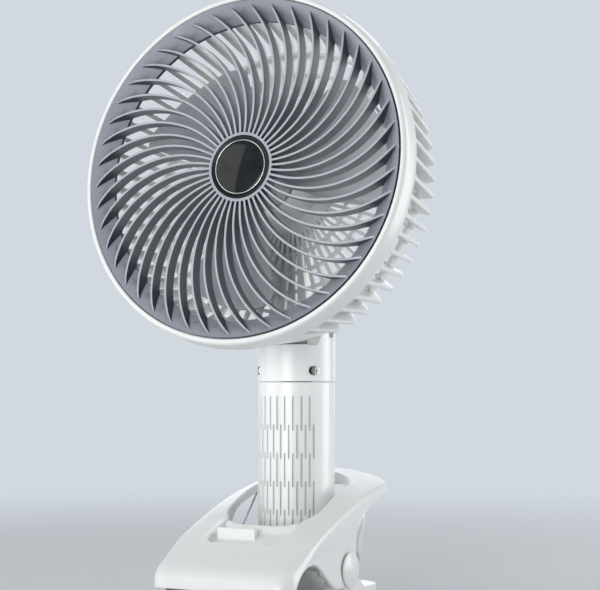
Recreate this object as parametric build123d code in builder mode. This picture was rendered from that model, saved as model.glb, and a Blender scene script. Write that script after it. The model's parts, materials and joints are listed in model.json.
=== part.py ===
from build123d import *
from math import acos, atan, cos, degrees, hypot, radians, sin, sqrt, tan
import os

# Clip fan, in millimetres. +Z is up and the fan faces -Y.
# The origin is on the column's axis, at the level the feet stand on.

os.makedirs("parts", exist_ok=True)

# ---------------------------------------------------------------- driving sizes

# head: a depth is a distance behind the rim plane, a radius is from the head's axis
ring_height = 247.3  # centre of the rim plane above the feet
ring_reach = 72.3  # centre of the rim plane ahead of the column's axis
head_tilt = 7.6  # degrees the head looks up

grille_radius = 95.9
grille_opening_radius = 85.5
grille_slope_depth = 8.3
grille_wall = 1.7
grille_flange_radius = 97.2
grille_flange = 1.9
vane_count = 46
vane_thickness = 1.2
vane_depth = 8.0
vane_bend = 62.0  # radius of a vane's curve
vane_bend_start = 24.0  # radius at which a vane starts to curve
vane_tip_radius = 93.9
hub_ring_radius = 19.7
hub_ring_wall = 2.2
hub_ring_depth = 9.0
hub_floor = 2.0
hub_recess = 2.3
badge_radius = 14.9
trim_wall = 0.8
badge_thickness = 1.4
badge_dome = 0.7
badge_edge = 0.1  # how far the disc's edge lies below the ring round it

band_front_radius = 100.0
band_rear_radius = 101.0
band_depth = 12.0
band_wall = 2.4
band_lip = 3.0
band_edge = 0.8
groove_width = 0.4

fin_count = 60
fin_thickness = 1.9
fin_tip_radius = 92.9
fin_tip_depth = 61.0
fin_height = 8.0
cage_corner_radius = 84.0
cage_corner_depth = 64.0
cage_back_step = 1.0  # how far the ring bars end ahead of the hub plate's back
cage_rib_depth = 4.0
cage_ring_thickness = 1.8
cage_ring_count = 5
cage_collar_wall = 2.4
cage_shoulder = 3.0
hub_plate_radius = 27.0
hub_plate_depth = 69.5
hub_plate_thickness = 3.0
chin_half_angle = 21.5
chin_wall = 2.4
chin_rear_radius = 90.4

# impeller and motor
blade_count = 3
blade_tip_radius = 76.0
blade_thickness = 1.8
blade_first_angle = 136.0
blade_half_angle = 34.0
blade_corner = 15.0
blade_root_front = 15.5
blade_root_back = 33.0
blade_root_width = 24.0
blade_tip_front = 17.0
blade_tip_back = 42.0
blade_tip_width = 84.0
blade_camber = 3.0
impeller_hub_radius = 17.5
impeller_hub_front = 13.0
impeller_hub_length = 20.0
impeller_hub_wall = 2.0
impeller_boss_radius = 5.0
nut_radius = 5.0
nut_thickness = 2.6
shaft_radius = 1.5
cup_length = 29.0
cup_wall = 2.2
cup_floor = 4.0
motor_radius = 14.0
motor_wall = 1.2
motor_room = 0.9  # behind the motor case, inside its cup
motor_length = 25.0
end_cap_thickness = 1.6
bushing_radius = 3.5
bushing_length = 4.0
magnet_thickness = 2.1
magnet_length = 17.0
magnet_angle = 140.0
rotor_gap = 0.5
rotor_length = 15.0
rotor_slots = 5
rotor_slot = 1.6

# arm and tilt hinge
arm_half_width = 10.5
arm_thickness = 9.5
arm_disc_radius = 21.0
arm_disc_step = 1.5  # how far the disc stops short of the bar's back
arm_screw_circle = 11.0
screw_radius = 1.4
screw_head_radius = 2.5
screw_head = 1.6
screw_slot = 0.6
screw_grip = 3.0
tilt_height = 157.0
barrel_radius = 7.0
barrel_half_width = 11.7
tilt_washer = 0.8
tilt_washer_radius = 6.0
tilt_pin_radius = 2.0
tilt_pin_head_radius = 3.4
tilt_pin_head = 2.0
tilt_nut_thickness = 2.5
tilt_seat = 18.5  # half the distance between the pin head's seat and the nut's
ear_radius = 7.5
ear_base = 12.0  # half the length of an ear where it leaves the neck
neck_radius = 22.75
neck_wall = 2.4
neck_shoulder = 149.4
wire_hole_radius = 3.0
neck_screw_offset = 17.7
neck_screw_height = 6.5
neck_screw_recess = 2.75
neck_screw_seat = 8.0
neck_screw_length = 12.0
neck_boss_radius = 3.4

# swivel
split_height = 128.0  # top of the column
split_gap = 0.4
swivel_floor = 4.1
swivel_radius = 9.0
swivel_bore = 5.0
swivel_end = 3.0
swivel_washer = 1.0
swivel_washer_radius = 14.0
swivel_clip = 1.2
swivel_clip_radius = 12.0
swivel_groove = 0.8
stem_plug = 6.0

# column
column_radius = 22.35
column_wall = 2.2
column_bottom = 29.5
column_chamfer = 0.5
dash_rows = 5
dash_length = 19.5
dash_row_pitch = 16.2
dash_first = 8.3
dash_pitch = 12.5  # degrees
dash_columns = 9
dash_width = 1.2
dash_depth = 0.8
column_screw_angle = 35.0  # degrees either side of straight behind
column_screw_length = 6.0
cell_radius = 9.1
cell_length = 65.0
cell_forward = 4.0
cell_button = 2.0
frame_plate = 2.0
web_half_width = 13.0
board_thickness = 1.6
board_half_width = 14.0
board_length = 52.0
board_standoff = 2.4
standoff_radius = 1.8
standoff_inset = 3.0
chip_size = 6.0
chip_height = 1.2
switch_width = 6.0
switch_height = 3.0
button_radius = 5.0
button_height = 100.0
button_proud = 1.0
button_flange_radius = 6.2
button_flange = 1.2
button_stem_radius = 1.5
button_travel = 0.8
port_width = 9.0
port_depth = 3.2
port_wall = 0.4
port_height = 66.0

# base clip
clip_half_width = 43.0
clip_front = 95.0  # ahead of the column's axis
clip_rear = 45.0  # behind it
clip_wall = 2.4
clip_top_height = 61.0  # of the flank's upper edge, at the column's axis
clip_top_curve = 360.0
clip_top_slope = 12.5  # degrees, at the column's axis
clip_front_crown = 0.8
clip_rear_crown = 8.0
clip_front_corner = 9.0
clip_rear_corner = 13.0
hole_half_width = 29.0
hole_front = 46.0
hole_rear = 27.0
hole_corner = 21.0
hole_rim_wall = 2.0
hole_skirt = 5.0
recess_half_width = 23.0
recess_front = 67.0
recess_corner = 5.0
recess_depth = 3.5
tab_middle = 9.15  # to the left of the middle
tab_width = 23.7
tab_height = 5.9
tab_thickness = 2.4
tab_forward = 56.0
lip_height = 17.0
lip_length = 9.5
pivot_forward = 19.0
pivot_height = 22.5
pivot_radius = 2.0
pivot_boss_radius = 12.0
spacer_radius = 6.0
cap_radius = 10.0
cap_rim = 1.0
cap_thickness = 2.8
cap_depth = 1.6
jaw_half_width = 38.0
jaw_front = 92.0
jaw_rear = 40.0
jaw_deck = 9.0
jaw_corner = 14.0
jaw_wall = 2.4
cheek_thickness = 3.2
cheek_radius = 9.0
cheek_front = 46.0
cheek_rear = 16.0
saddle_rear = 47.0
saddle_corner = 4.0
notch_radius = 12.0
notch_forward = 66.0
notch_height = 21.5
pad_thickness = 1.8
pad_length = 8.0
pad_half_width = 33.0
pad_inset = 2.5
pad_gap = 0.3
pedestal_core = 14.0
spigot_height = 16.0
foot_height = 2.0
foot_radius = 7.0
foot_recess = 0.6
foot_inset = 12.0
foot_rounding = 0.5
cover_thickness = 2.0
cover_screw_inset = 8.0
cover_screw_front = 26.0
cover_screw_rear = 22.0
cover_boss_radius = 3.2
spring_wire = 1.2
spring_radius = 4.2
spring_turns = 3
spring_pitch = 2.85
spring_middle = 29.0
spring_foot_reach = 22.0
spring_arm_reach = 34.0

# clearances
running = 0.05  # radial, shaft in bore
loose = 0.35  # between parts that move past each other
seat_gap = 0.15  # between pieces nested in one body
screw_play = 0.2  # round a screw in its clearance hole
overrun = 2.0  # how far a trimming form runs past what it trims
far = 300.0  # longer than anything it cuts


# ---------------------------------------------------------------- shared frames

tilt = radians(head_tilt)
ring_centre = (0, -ring_reach, ring_height)
forward = Vector(0, -cos(tilt), sin(tilt))
upward = Vector(0, sin(tilt), cos(tilt))
head_plane = Plane(ring_centre, x_dir=(1, 0, 0), z_dir=forward)
head_axis = Axis(ring_centre, forward)
pivot_axis = Axis((0, -pivot_forward, pivot_height), (1, 0, 0))
toward_back = Plane(origin=(0, 0, 0), x_dir=(-1, 0, 0), z_dir=(0, 1, 0))


def head_side(angle):
    """The half plane through the head's axis at an angle: x is radius, y is forward."""
    outward = Vector(1, 0, 0) * cos(radians(angle)) + upward * sin(radians(angle))
    return Plane(ring_centre, x_dir=outward, z_dir=outward.cross(forward))


def turn(points, start=0.0, arc=360.0, mode=Mode.ADD):
    """Turns a (radius, depth) outline about the head's axis."""
    with BuildSketch(head_side(start), mode=Mode.PRIVATE) as outline:
        with BuildLine():
            Polyline(*[(r, -depth) for r, depth in points], close=True)
        make_face()
    revolve(outline.sketch, axis=head_axis, revolution_arc=arc, mode=mode)


def tube(plane, radius, length, bore=0.0, at=((0, 0),), mode=Mode.ADD):
    """Adds cylinders or tubes that stand on a plane, at points on it."""
    with BuildSketch(plane, mode=Mode.PRIVATE) as outline:
        with Locations(*at):
            Circle(radius)
            if bore:
                Circle(bore, mode=Mode.SUBTRACT)
    extrude(outline.sketch, amount=length, mode=mode)


def head_tube(radius, front, back, bore=0.0, mode=Mode.ADD):
    """Adds a cylinder or tube on the head's axis between two depths."""
    tube(head_plane.offset(-back), radius, back - front, bore, mode=mode)


def round_head(piece, count, start=0.0):
    """Copies of a piece, spread evenly round the head's axis."""
    return [piece.rotate(head_axis, start + number * 360 / count) for number in range(count)]


def upright(radius, low, high, bore=0.0, at=((0, 0),), mode=Mode.ADD):
    """Adds upright cylinders or tubes between two heights."""
    tube(Plane.XY.offset(low), radius, high - low, bore, at, mode)


def across(radius, y, z, left, right, bore=0.0, mode=Mode.ADD):
    """Adds a cylinder or tube along X between two sides."""
    tube(Plane.YZ.offset(left), radius, right - left, bore, ((y, z),), mode)


def block(left, right, front, back, low, high, mode=Mode.ADD):
    """Adds a box between its six sides, with Y running from front to back."""
    with Locations(((left + right) / 2, (front + back) / 2, (low + high) / 2)):
        Box(right - left, back - front, high - low, mode=mode)


def slab(left, right, front, back, low, high, corner, mode=Mode.ADD):
    """Adds an upright block with round corners in plan."""
    with BuildSketch(Plane.XY.offset(low), mode=Mode.PRIVATE) as outline:
        with Locations(((left + right) / 2, (front + back) / 2)):
            RectangleRounded(right - left, back - front, corner)
    extrude(outline.sketch, amount=high - low, mode=mode)


def flank(points, left, right, mode=Mode.ADD):
    """Adds a (y, z) outline as a solid between two sides."""
    with BuildSketch(Plane.YZ.offset(left), mode=Mode.PRIVATE) as outline:
        with BuildLine():
            Polyline(*points, close=True)
        make_face()
    extrude(outline.sketch, amount=right - left, mode=mode)


def dome_drop(radius, rise, at):
    """How far a dome of a given radius and rise falls below its top at a distance out."""
    bend = (radius**2 + rise**2) / (2 * rise)
    return bend - sqrt(bend**2 - at**2)


def write(piece, name):
    """Labels a finished piece and writes its file."""
    piece.part.label = name
    export_step(piece.part, "parts/" + name + ".step")


# ---------------------------------------------------------------- front grille

slope = grille_slope_depth / (grille_radius - grille_opening_radius)
wall_drop = grille_wall * hypot(1, slope)
skirt_radius = grille_radius - grille_wall
hub_bore = hub_ring_radius - hub_ring_wall
flange_back = band_lip + grille_flange

bend_reach = hypot(vane_bend_start, vane_bend)
bend_cosine = (bend_reach**2 + vane_bend**2 - vane_tip_radius**2) / (2 * bend_reach * vane_bend)
vane_sweep = degrees(acos(bend_cosine) - atan(vane_bend_start / vane_bend))
vane_root = hub_ring_radius - hub_ring_wall / 2

with BuildSketch() as vane:
    with BuildLine():
        bend_centre = (vane_bend_start, vane_bend)
        outer_edge = CenterArc(bend_centre, vane_bend + vane_thickness / 2, -90, vane_sweep)
        inner_edge = CenterArc(bend_centre, vane_bend - vane_thickness / 2, -90, vane_sweep)
        Line(outer_edge @ 1, inner_edge @ 1)
        Polyline(
            outer_edge @ 0,
            (vane_root, -vane_thickness / 2),
            (vane_root, vane_thickness / 2),
            inner_edge @ 0,
        )
    make_face()

vane_tip_front = (grille_radius - vane_tip_radius) * slope
vane_front = [
    (hub_bore, hub_recess),
    (grille_opening_radius, 0.3),
    (vane_tip_radius - 3, 0.5),
    (vane_tip_radius, vane_tip_front),
]
vane_back = [
    (vane_tip_radius, vane_tip_front + wall_drop / 2),
    (grille_opening_radius, grille_slope_depth + wall_drop / 2),
    (grille_opening_radius - 2, vane_depth + 0.2),
    (hub_bore, hub_ring_depth),
]

with BuildPart() as vane_bar:
    with BuildSketch(head_plane.offset(-hub_ring_depth)):
        add(vane.sketch)
    extrude(amount=hub_ring_depth)
    turn(vane_front + vane_back, mode=Mode.INTERSECT)

with BuildPart() as front_grille:
    turn(
        [
            (grille_radius, 0),
            (grille_opening_radius, grille_slope_depth),
            (grille_opening_radius, grille_slope_depth + wall_drop),
            (skirt_radius, wall_drop + grille_wall * slope),
            (skirt_radius, flange_back),
            (grille_flange_radius, flange_back),
            (grille_flange_radius, band_lip),
            (grille_radius, band_lip),
        ]
    )
    head_tube(hub_ring_radius, hub_recess, hub_ring_depth, hub_bore)
    head_tube(hub_bore + hub_ring_wall / 2, hub_ring_depth - hub_floor, hub_ring_depth)
    add(round_head(vane_bar.part, vane_count))
write(front_grille, "front_grille")


# ---------------------------------------------------------------- hub badge

badge_floor = hub_ring_depth - hub_floor
badge_seat = hub_recess + badge_thickness
trim_radius = badge_radius + trim_wall

with BuildPart() as badge_cup:
    turn(
        [
            (0, badge_floor),
            (0, badge_seat),
            (trim_radius, badge_seat),
            (trim_radius, hub_recess),
            (hub_bore - 0.5, hub_recess),
            (hub_bore, hub_recess + 0.5),
            (hub_bore, badge_floor),
        ]
    )
write(badge_cup, "badge_cup")

with BuildPart() as badge_trim:
    head_tube(trim_radius, hub_recess - 0.2, badge_seat, badge_radius)
write(badge_trim, "badge_trim")

badge_top = badge_dome - badge_edge - hub_recess
with BuildPart() as badge_disc:
    with BuildSketch(head_side(0), mode=Mode.PRIVATE) as badge_outline:
        with BuildLine():
            rim = (badge_radius, badge_top - badge_dome)
            middle = badge_top - dome_drop(badge_radius, badge_dome, badge_radius / 2)
            Polyline((0, badge_top), (0, -badge_seat), (badge_radius, -badge_seat), rim)
            ThreePointArc(rim, (badge_radius / 2, middle), (0, badge_top))
        make_face()
    revolve(badge_outline.sketch, axis=head_axis)
write(badge_disc, "badge_disc")


# ---------------------------------------------------------------- drum band

lip_radius = grille_radius + groove_width

with BuildPart() as drum_band:
    turn(
        [
            (lip_radius, band_edge / 2),
            (lip_radius + band_edge / 2, 0),
            (band_front_radius - band_edge, 0),
            (band_front_radius - band_edge / 4, band_edge / 4),
            (band_front_radius, band_edge),
            (band_rear_radius, band_depth),
            (band_rear_radius - band_wall, band_depth),
            (band_front_radius - band_wall, band_lip),
            (lip_radius, band_lip),
        ]
    )
write(drum_band, "drum_band")


# ---------------------------------------------------------------- rear cage

band_inner = band_rear_radius - band_wall
collar_inner = grille_flange_radius - cage_collar_wall
shoulder_radius = band_rear_radius - band_edge
cage_back_depth = hub_plate_depth - cage_back_step
back_slope = (cage_back_depth - cage_corner_depth) / (cage_corner_radius - hub_plate_radius)


def cage_back(radius):
    """Depth of the cage's rear face at a radius inside its corner."""
    return cage_corner_depth + (cage_corner_radius - radius) * back_slope


fin_root = hub_plate_radius - 2
inner_corner = cage_corner_radius - 5
chin_outer = [
    (shoulder_radius, band_depth),
    (chin_rear_radius, fin_tip_depth - 2),
    (chin_rear_radius - 2.5, fin_tip_depth + 1),
    (cage_corner_radius, cage_corner_depth),
]
chin_inner = [
    (cage_corner_radius - chin_wall, cage_corner_depth - chin_wall),
    (chin_rear_radius - chin_wall, fin_tip_depth - 3),
    (shoulder_radius - chin_wall - 0.4, band_depth),
]
fin_outer = [
    (shoulder_radius - 0.4, band_depth + 0.5),
    (fin_tip_radius, fin_tip_depth - 1.6),
    (fin_tip_radius - 0.5, fin_tip_depth - 0.5),
    (fin_tip_radius - 1.6, fin_tip_depth),
    (cage_corner_radius, cage_corner_depth),
]
chin_fin_outer = [
    (shoulder_radius - 0.8, band_depth + 0.5),
    (chin_rear_radius - chin_wall / 2, fin_tip_depth - 2.5),
    (cage_corner_radius - chin_wall / 2, cage_corner_depth - chin_wall / 2),
]
fin_inner = [
    (fin_root, cage_back(fin_root)),
    (fin_root, cage_back(fin_root) - cage_rib_depth),
    (inner_corner, cage_back(inner_corner) - cage_rib_depth),
    (fin_tip_radius - fin_height + 1.6, fin_tip_depth - fin_height),
    (collar_inner + 0.4, band_depth + 0.5),
]


def fins(outline, angles):
    """Copies of one radial fin, cut to a (radius, depth) outline, at angles round the head."""
    side = head_side(0)
    with BuildPart() as fin:
        with BuildSketch(side.offset(-fin_thickness / 2)):
            with BuildLine():
                Polyline(*[(r, -depth) for r, depth in outline], close=True)
            make_face()
        extrude(amount=fin_thickness)
    return [fin.part.rotate(head_axis, angle) for angle in angles]


fin_pitch = 360 / fin_count
fin_angles = [-90 + (number + 0.2) * fin_pitch for number in range(fin_count)]
chin_angles = [angle for angle in fin_angles if abs((angle + 270) % 360 - 180) < chin_half_angle]
open_angles = [angle for angle in fin_angles if angle not in chin_angles]
lattice_radius = cage_corner_radius - 0.6
cage_fins = fins(fin_outer + fin_inner, open_angles) + fins(chin_fin_outer + fin_inner, chin_angles)

with BuildPart() as rear_cage:
    turn(
        [
            (collar_inner, flange_back),
            (grille_flange_radius - seat_gap, flange_back),
            (band_inner - seat_gap, band_depth),
            (shoulder_radius, band_depth),
            (shoulder_radius - 0.3, band_depth + cage_shoulder),
            (collar_inner, band_depth + cage_shoulder),
        ]
    )
    turn(chin_outer + chin_inner, -90 - chin_half_angle, 2 * chin_half_angle)
    head_tube(hub_plate_radius, hub_plate_depth - hub_plate_thickness, hub_plate_depth)
    with BuildSketch(head_plane.offset(-hub_plate_depth)):
        with PolarLocations(arm_screw_circle, 4, start_angle=45):
            Circle(screw_radius + screw_play)
        Circle(bushing_radius)
    extrude(amount=hub_plate_thickness, mode=Mode.SUBTRACT)
    for number in range(cage_ring_count):
        ring_radius = lattice_radius - number * (lattice_radius - hub_plate_radius) / cage_ring_count
        ring_back = cage_back(ring_radius) - 0.4
        ring_depth = fin_height if number == 0 else cage_rib_depth - 1
        ring_bore = ring_radius - cage_ring_thickness
        head_tube(ring_radius, ring_back - ring_depth, ring_back, ring_bore)
    add(cage_fins)
write(rear_cage, "rear_cage")


# ---------------------------------------------------------------- impeller

hub_back = impeller_hub_front + impeller_hub_length


def blade_section(radius, width, front, back):
    """The blade's curved section on the plane that stands across it at a radius."""
    origin = Vector(*ring_centre) + Vector(radius, 0, 0)
    low = (-width / 2, -back)
    middle = (0, -(front + back) / 2 - blade_camber)
    high = (width / 2, -front)
    under = [(x, y - blade_thickness) for x, y in (high, middle, low)]
    with BuildSketch(Plane(origin, x_dir=upward, z_dir=(1, 0, 0)), mode=Mode.PRIVATE) as section:
        with BuildLine():
            ThreePointArc(low, middle, high)
            Line(high, under[0])
            ThreePointArc(*under)
            Line(under[2], low)
        make_face()
    return section.sketch


root_radius = impeller_hub_radius - 4
beyond_tip = blade_tip_radius + 4
blade_spread = tan(radians(blade_half_angle))
hub_core = impeller_hub_radius - impeller_hub_wall

with BuildPart() as blade:
    loft(
        [
            blade_section(root_radius, blade_root_width, blade_root_front, blade_root_back),
            blade_section(beyond_tip, blade_tip_width, blade_tip_front, blade_tip_back),
        ]
    )
    with BuildSketch(head_plane.offset(-hub_plate_depth), mode=Mode.PRIVATE) as blade_plan:
        with BuildLine():
            Polyline((0, 0), (far, -far * blade_spread), (far, far * blade_spread), close=True)
        make_face()
        Circle(blade_tip_radius, mode=Mode.INTERSECT)
        fillet(blade_plan.vertices().sort_by(Axis.X)[-2:], blade_corner)
        Circle(impeller_hub_radius - impeller_hub_wall / 2, mode=Mode.SUBTRACT)
    extrude(blade_plan.sketch, amount=hub_plate_depth, mode=Mode.INTERSECT)

with BuildPart() as impeller:
    turn(
        [
            (shaft_radius + running, impeller_hub_front),
            (impeller_hub_radius - 2, impeller_hub_front),
            (impeller_hub_radius, impeller_hub_front + 2),
            (impeller_hub_radius, hub_back),
            (hub_core, hub_back),
            (hub_core, impeller_hub_front + impeller_hub_wall),
            (impeller_boss_radius, impeller_hub_front + impeller_hub_wall),
            (impeller_boss_radius, hub_back - 1),
            (shaft_radius + running, hub_back - 1),
        ]
    )
    add(round_head(blade.part, blade_count, blade_first_angle))
write(impeller, "impeller")

nut_front = impeller_hub_front - nut_thickness
with BuildPart() as impeller_nut:
    with BuildSketch(head_plane.offset(-impeller_hub_front)):
        RegularPolygon(nut_radius, 6)
        Circle(shaft_radius + running, mode=Mode.SUBTRACT)
    extrude(amount=nut_thickness)
write(impeller_nut, "impeller_nut")


# ---------------------------------------------------------------- motor

cup_back = hub_plate_depth - hub_plate_thickness
cup_front = cup_back - cup_length
cup_inner = motor_radius + seat_gap
motor_back = cup_back - cup_floor - motor_room
motor_front = motor_back - motor_length
can_inner = motor_radius - motor_wall
magnet_outer = can_inner - seat_gap
magnet_inner = magnet_outer - magnet_thickness
magnet_front = motor_front + (motor_length - motor_wall - magnet_length) / 2
rotor_radius = magnet_inner - rotor_gap
rotor_front = magnet_front + (magnet_length - rotor_length) / 2
cap_front = motor_front - end_cap_thickness
bushing_front = cap_front - 0.6
bushing_back = motor_back + 0.4
bushing_bore = shaft_radius + running
bushing_seat = bushing_radius + running

with BuildPart() as motor_cup:
    head_tube(cup_inner + cup_wall, cup_front, cup_back, cup_inner)
    head_tube(cup_inner + cup_wall / 2, cup_back - cup_floor, cup_back, bushing_radius + loose)
    with BuildSketch(head_plane.offset(-cup_back)):
        with PolarLocations(arm_screw_circle, 4, start_angle=45):
            Circle(screw_radius + running)
    extrude(amount=cup_floor, mode=Mode.SUBTRACT)
write(motor_cup, "motor_cup")

with BuildPart() as motor_case:
    head_tube(motor_radius, motor_front, motor_back, can_inner)
    head_tube(can_inner + motor_wall / 2, motor_back - motor_wall, motor_back, bushing_seat)
write(motor_case, "motor_case")

with BuildPart() as motor_end_cap:
    head_tube(motor_radius, cap_front, motor_front, bushing_seat)
write(motor_end_cap, "motor_end_cap")

with BuildPart() as motor_magnets:
    magnet_outline = [
        (magnet_outer, magnet_front),
        (magnet_outer, magnet_front + magnet_length),
        (magnet_inner, magnet_front + magnet_length),
        (magnet_inner, magnet_front),
    ]
    for middle in (0, 180):
        turn(magnet_outline, middle - magnet_angle / 2, magnet_angle)
write(motor_magnets, "motor_magnets")

with BuildPart() as motor_rotor:
    head_tube(rotor_radius, rotor_front, rotor_front + rotor_length, bushing_bore)
    with BuildSketch(head_plane.offset(-rotor_front - rotor_length)):
        with PolarLocations(rotor_radius * 0.8, rotor_slots):
            Rectangle(rotor_radius * 0.6, rotor_slot)
    extrude(amount=rotor_length, mode=Mode.SUBTRACT)
write(motor_rotor, "motor_rotor")

with BuildPart() as motor_shaft:
    head_tube(shaft_radius, nut_front - 0.6, bushing_back)
write(motor_shaft, "motor_shaft")

with BuildPart() as front_bushing:
    head_tube(bushing_radius, bushing_front, bushing_front + bushing_length, bushing_bore)
write(front_bushing, "front_bushing")

with BuildPart() as rear_bushing:
    head_tube(bushing_radius, bushing_back - bushing_length, bushing_back, bushing_bore)
write(rear_bushing, "rear_bushing")


# ---------------------------------------------------------------- arm

hinge_point = Vector(0, 0, tilt_height) - Vector(*ring_centre)
hinge_depth = -hinge_point.dot(forward)
hinge_up = hinge_point.dot(upward)
arm_back = hub_plate_depth + arm_thickness
disc_back = arm_back - arm_disc_step
arm_screw_seat = disc_back - screw_head
arm_side = Plane(ring_centre, x_dir=-forward, z_dir=(1, 0, 0))

with BuildPart() as head_arm:
    head_tube(arm_disc_radius, hub_plate_depth, disc_back)
    with BuildSketch(arm_side.offset(-arm_half_width)) as arm_bar:
        with BuildLine():
            Polyline(
                (hub_plate_depth, -3),
                (disc_back, -3),
                (arm_back, -7),
                (arm_back, hinge_up + 22),
                (hinge_depth + barrel_radius - 1, hinge_up + 2.5),
                (hinge_depth, hinge_up),
                (hinge_depth - barrel_radius + 0.1, hinge_up + 1),
                (hub_plate_depth, hinge_up + 18),
                close=True,
            )
        make_face()
    extrude(amount=2 * arm_half_width)
    across(barrel_radius, 0, tilt_height, -barrel_half_width, barrel_half_width)
    across(tilt_pin_radius + running, 0, tilt_height, -far, far, mode=Mode.SUBTRACT)
    with BuildSketch(head_plane.offset(-arm_screw_seat)):
        with PolarLocations(arm_screw_circle, 4, start_angle=45):
            Circle(screw_radius + screw_play)
    extrude(amount=arm_screw_seat - hub_plate_depth, mode=Mode.SUBTRACT)
    with BuildSketch(head_plane.offset(-arm_back)):
        with PolarLocations(arm_screw_circle, 4, start_angle=45):
            Circle(screw_head_radius + screw_play)
    extrude(amount=arm_back - arm_screw_seat, mode=Mode.SUBTRACT)
write(head_arm, "head_arm")


def cross_slot(plane, spots):
    """Cuts the cross slots of screws whose heads face back along a plane."""
    with BuildSketch(plane, mode=Mode.PRIVATE) as slots:
        with Locations(*spots):
            Rectangle(screw_head_radius * 1.4, screw_slot)
            Rectangle(screw_slot, screw_head_radius * 1.4)
    extrude(slots.sketch, amount=screw_head / 2, mode=Mode.SUBTRACT)


turn_spots = [
    (arm_screw_circle * cos(radians(angle)), arm_screw_circle * sin(radians(angle)))
    for angle in (45, 135, 225, 315)
]
with BuildPart() as arm_screws:
    shank = arm_screw_seat - cup_back + screw_grip
    tube(head_plane.offset(-disc_back), screw_head_radius, screw_head, at=turn_spots)
    tube(head_plane.offset(-arm_screw_seat), screw_radius, shank, at=turn_spots)
    cross_slot(head_plane.offset(-disc_back), turn_spots)
write(arm_screws, "arm_screws")


# ---------------------------------------------------------------- neck

neck_bottom = split_height + split_gap
neck_floor = neck_bottom + swivel_floor
neck_inner = neck_radius - neck_wall
neck_middle = neck_inner + neck_wall / 2
ear_inner = barrel_half_width + tilt_washer + 0.1
ear_low = neck_shoulder - neck_wall
ear_top = tilt_height + ear_radius
ear_outline = [
    (-ear_base, ear_low),
    (ear_base, ear_low),
    (ear_base, neck_shoulder),
    (ear_radius * 0.9, tilt_height + ear_radius * 0.4),
    (-ear_radius * 0.9, tilt_height + ear_radius * 0.4),
    (-ear_base, neck_shoulder),
]
screw_height = split_height + neck_screw_height
screw_spots = ((neck_screw_offset, screw_height), (-neck_screw_offset, screw_height))
boss_reach = sqrt(neck_middle**2 - (neck_screw_offset + neck_boss_radius / 2) ** 2)

with BuildPart() as neck_whole:
    upright(neck_radius, neck_bottom, neck_shoulder, neck_inner)
    upright(neck_middle, neck_bottom, neck_floor, swivel_radius + running)
    upright(neck_middle, ear_low, neck_shoulder, wire_hole_radius)
    for left, right in ((-neck_radius, -ear_inner), (ear_inner, neck_radius)):
        flank(ear_outline, left, right)
        across(ear_radius, 0, tilt_height, left, right)
    tube(toward_back.offset(-boss_reach), neck_boss_radius, 2 * boss_reach, at=screw_spots)
    upright(neck_radius, neck_bottom, ear_top, mode=Mode.INTERSECT)
    across(tilt_pin_radius + running, 0, tilt_height, -far, far, mode=Mode.SUBTRACT)
    counterbore = tilt_pin_head_radius + screw_play
    across(counterbore, 0, tilt_height, tilt_seat, far, mode=Mode.SUBTRACT)
    across(counterbore, 0, tilt_height, -far, -tilt_seat, mode=Mode.SUBTRACT)
    recess_run = far - neck_screw_seat
    tube(toward_back.offset(-far), neck_screw_recess, recess_run, at=screw_spots, mode=Mode.SUBTRACT)
    bore_run = neck_screw_length + 2
    bore_plane = toward_back.offset(-neck_screw_seat - 1)
    tube(bore_plane, screw_radius + running, bore_run, at=screw_spots, mode=Mode.SUBTRACT)

with BuildPart() as neck_front_shell:
    add(neck_whole.part)
    block(-far, far, -far, 0, 0, far, mode=Mode.INTERSECT)
write(neck_front_shell, "neck_front_shell")

with BuildPart() as neck_rear_shell:
    add(neck_whole.part)
    block(-far, far, 0, far, 0, far, mode=Mode.INTERSECT)
write(neck_rear_shell, "neck_rear_shell")

with BuildPart() as neck_screws:
    head_face = toward_back.offset(-neck_screw_seat - screw_head)
    tube(head_face, screw_head_radius, screw_head, at=screw_spots)
    tube(toward_back.offset(-neck_screw_seat), screw_radius, neck_screw_length, at=screw_spots)
    cross_slot(head_face, screw_spots)
write(neck_screws, "neck_screws")

pin_tail = -tilt_seat - tilt_nut_thickness - 0.5
with BuildPart() as tilt_pin:
    across(tilt_pin_radius, 0, tilt_height, pin_tail, tilt_seat)
    across(tilt_pin_head_radius, 0, tilt_height, tilt_seat, tilt_seat + tilt_pin_head)
    slot_floor = tilt_seat + tilt_pin_head / 2
    block(slot_floor, far, -screw_slot / 2, screw_slot / 2, 0, far, mode=Mode.SUBTRACT)
write(tilt_pin, "tilt_pin")

with BuildPart() as tilt_nut:
    with BuildSketch(Plane.YZ.offset(-tilt_seat - tilt_nut_thickness)):
        with Locations((0, tilt_height)):
            RegularPolygon(tilt_pin_head_radius, 6)
            Circle(tilt_pin_radius + running, mode=Mode.SUBTRACT)
    extrude(amount=tilt_nut_thickness)
write(tilt_nut, "tilt_nut")

with BuildPart() as tilt_washers:
    washer_bore = tilt_pin_radius + seat_gap
    for left in (barrel_half_width, -barrel_half_width - tilt_washer):
        across(tilt_washer_radius, 0, tilt_height, left, left + tilt_washer, washer_bore)
write(tilt_washers, "tilt_washers")


# ---------------------------------------------------------------- swivel

column_inner = column_radius - column_wall
plug_radius = column_inner - seat_gap
washer_low = neck_floor + 0.1
clip_low = washer_low + swivel_washer
clip_high = clip_low + swivel_clip
groove_radius = swivel_radius - swivel_groove
plug_bottom = split_height - stem_plug
plug_screw_height = split_height - stem_plug / 2
spigot_screw_height = column_bottom + spigot_height / 2
screw_seat_radius = column_radius - screw_head / 2
screw_reach = column_inner - column_screw_length


def radial_plane(angle, radius, height):
    """A plane that faces outward from the column's axis."""
    outward = Vector(cos(radians(angle)), sin(radians(angle)), 0)
    origin = outward * radius + Vector(0, 0, height)
    return Plane(origin, x_dir=Vector(0, 0, 1).cross(outward), z_dir=outward)


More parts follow.
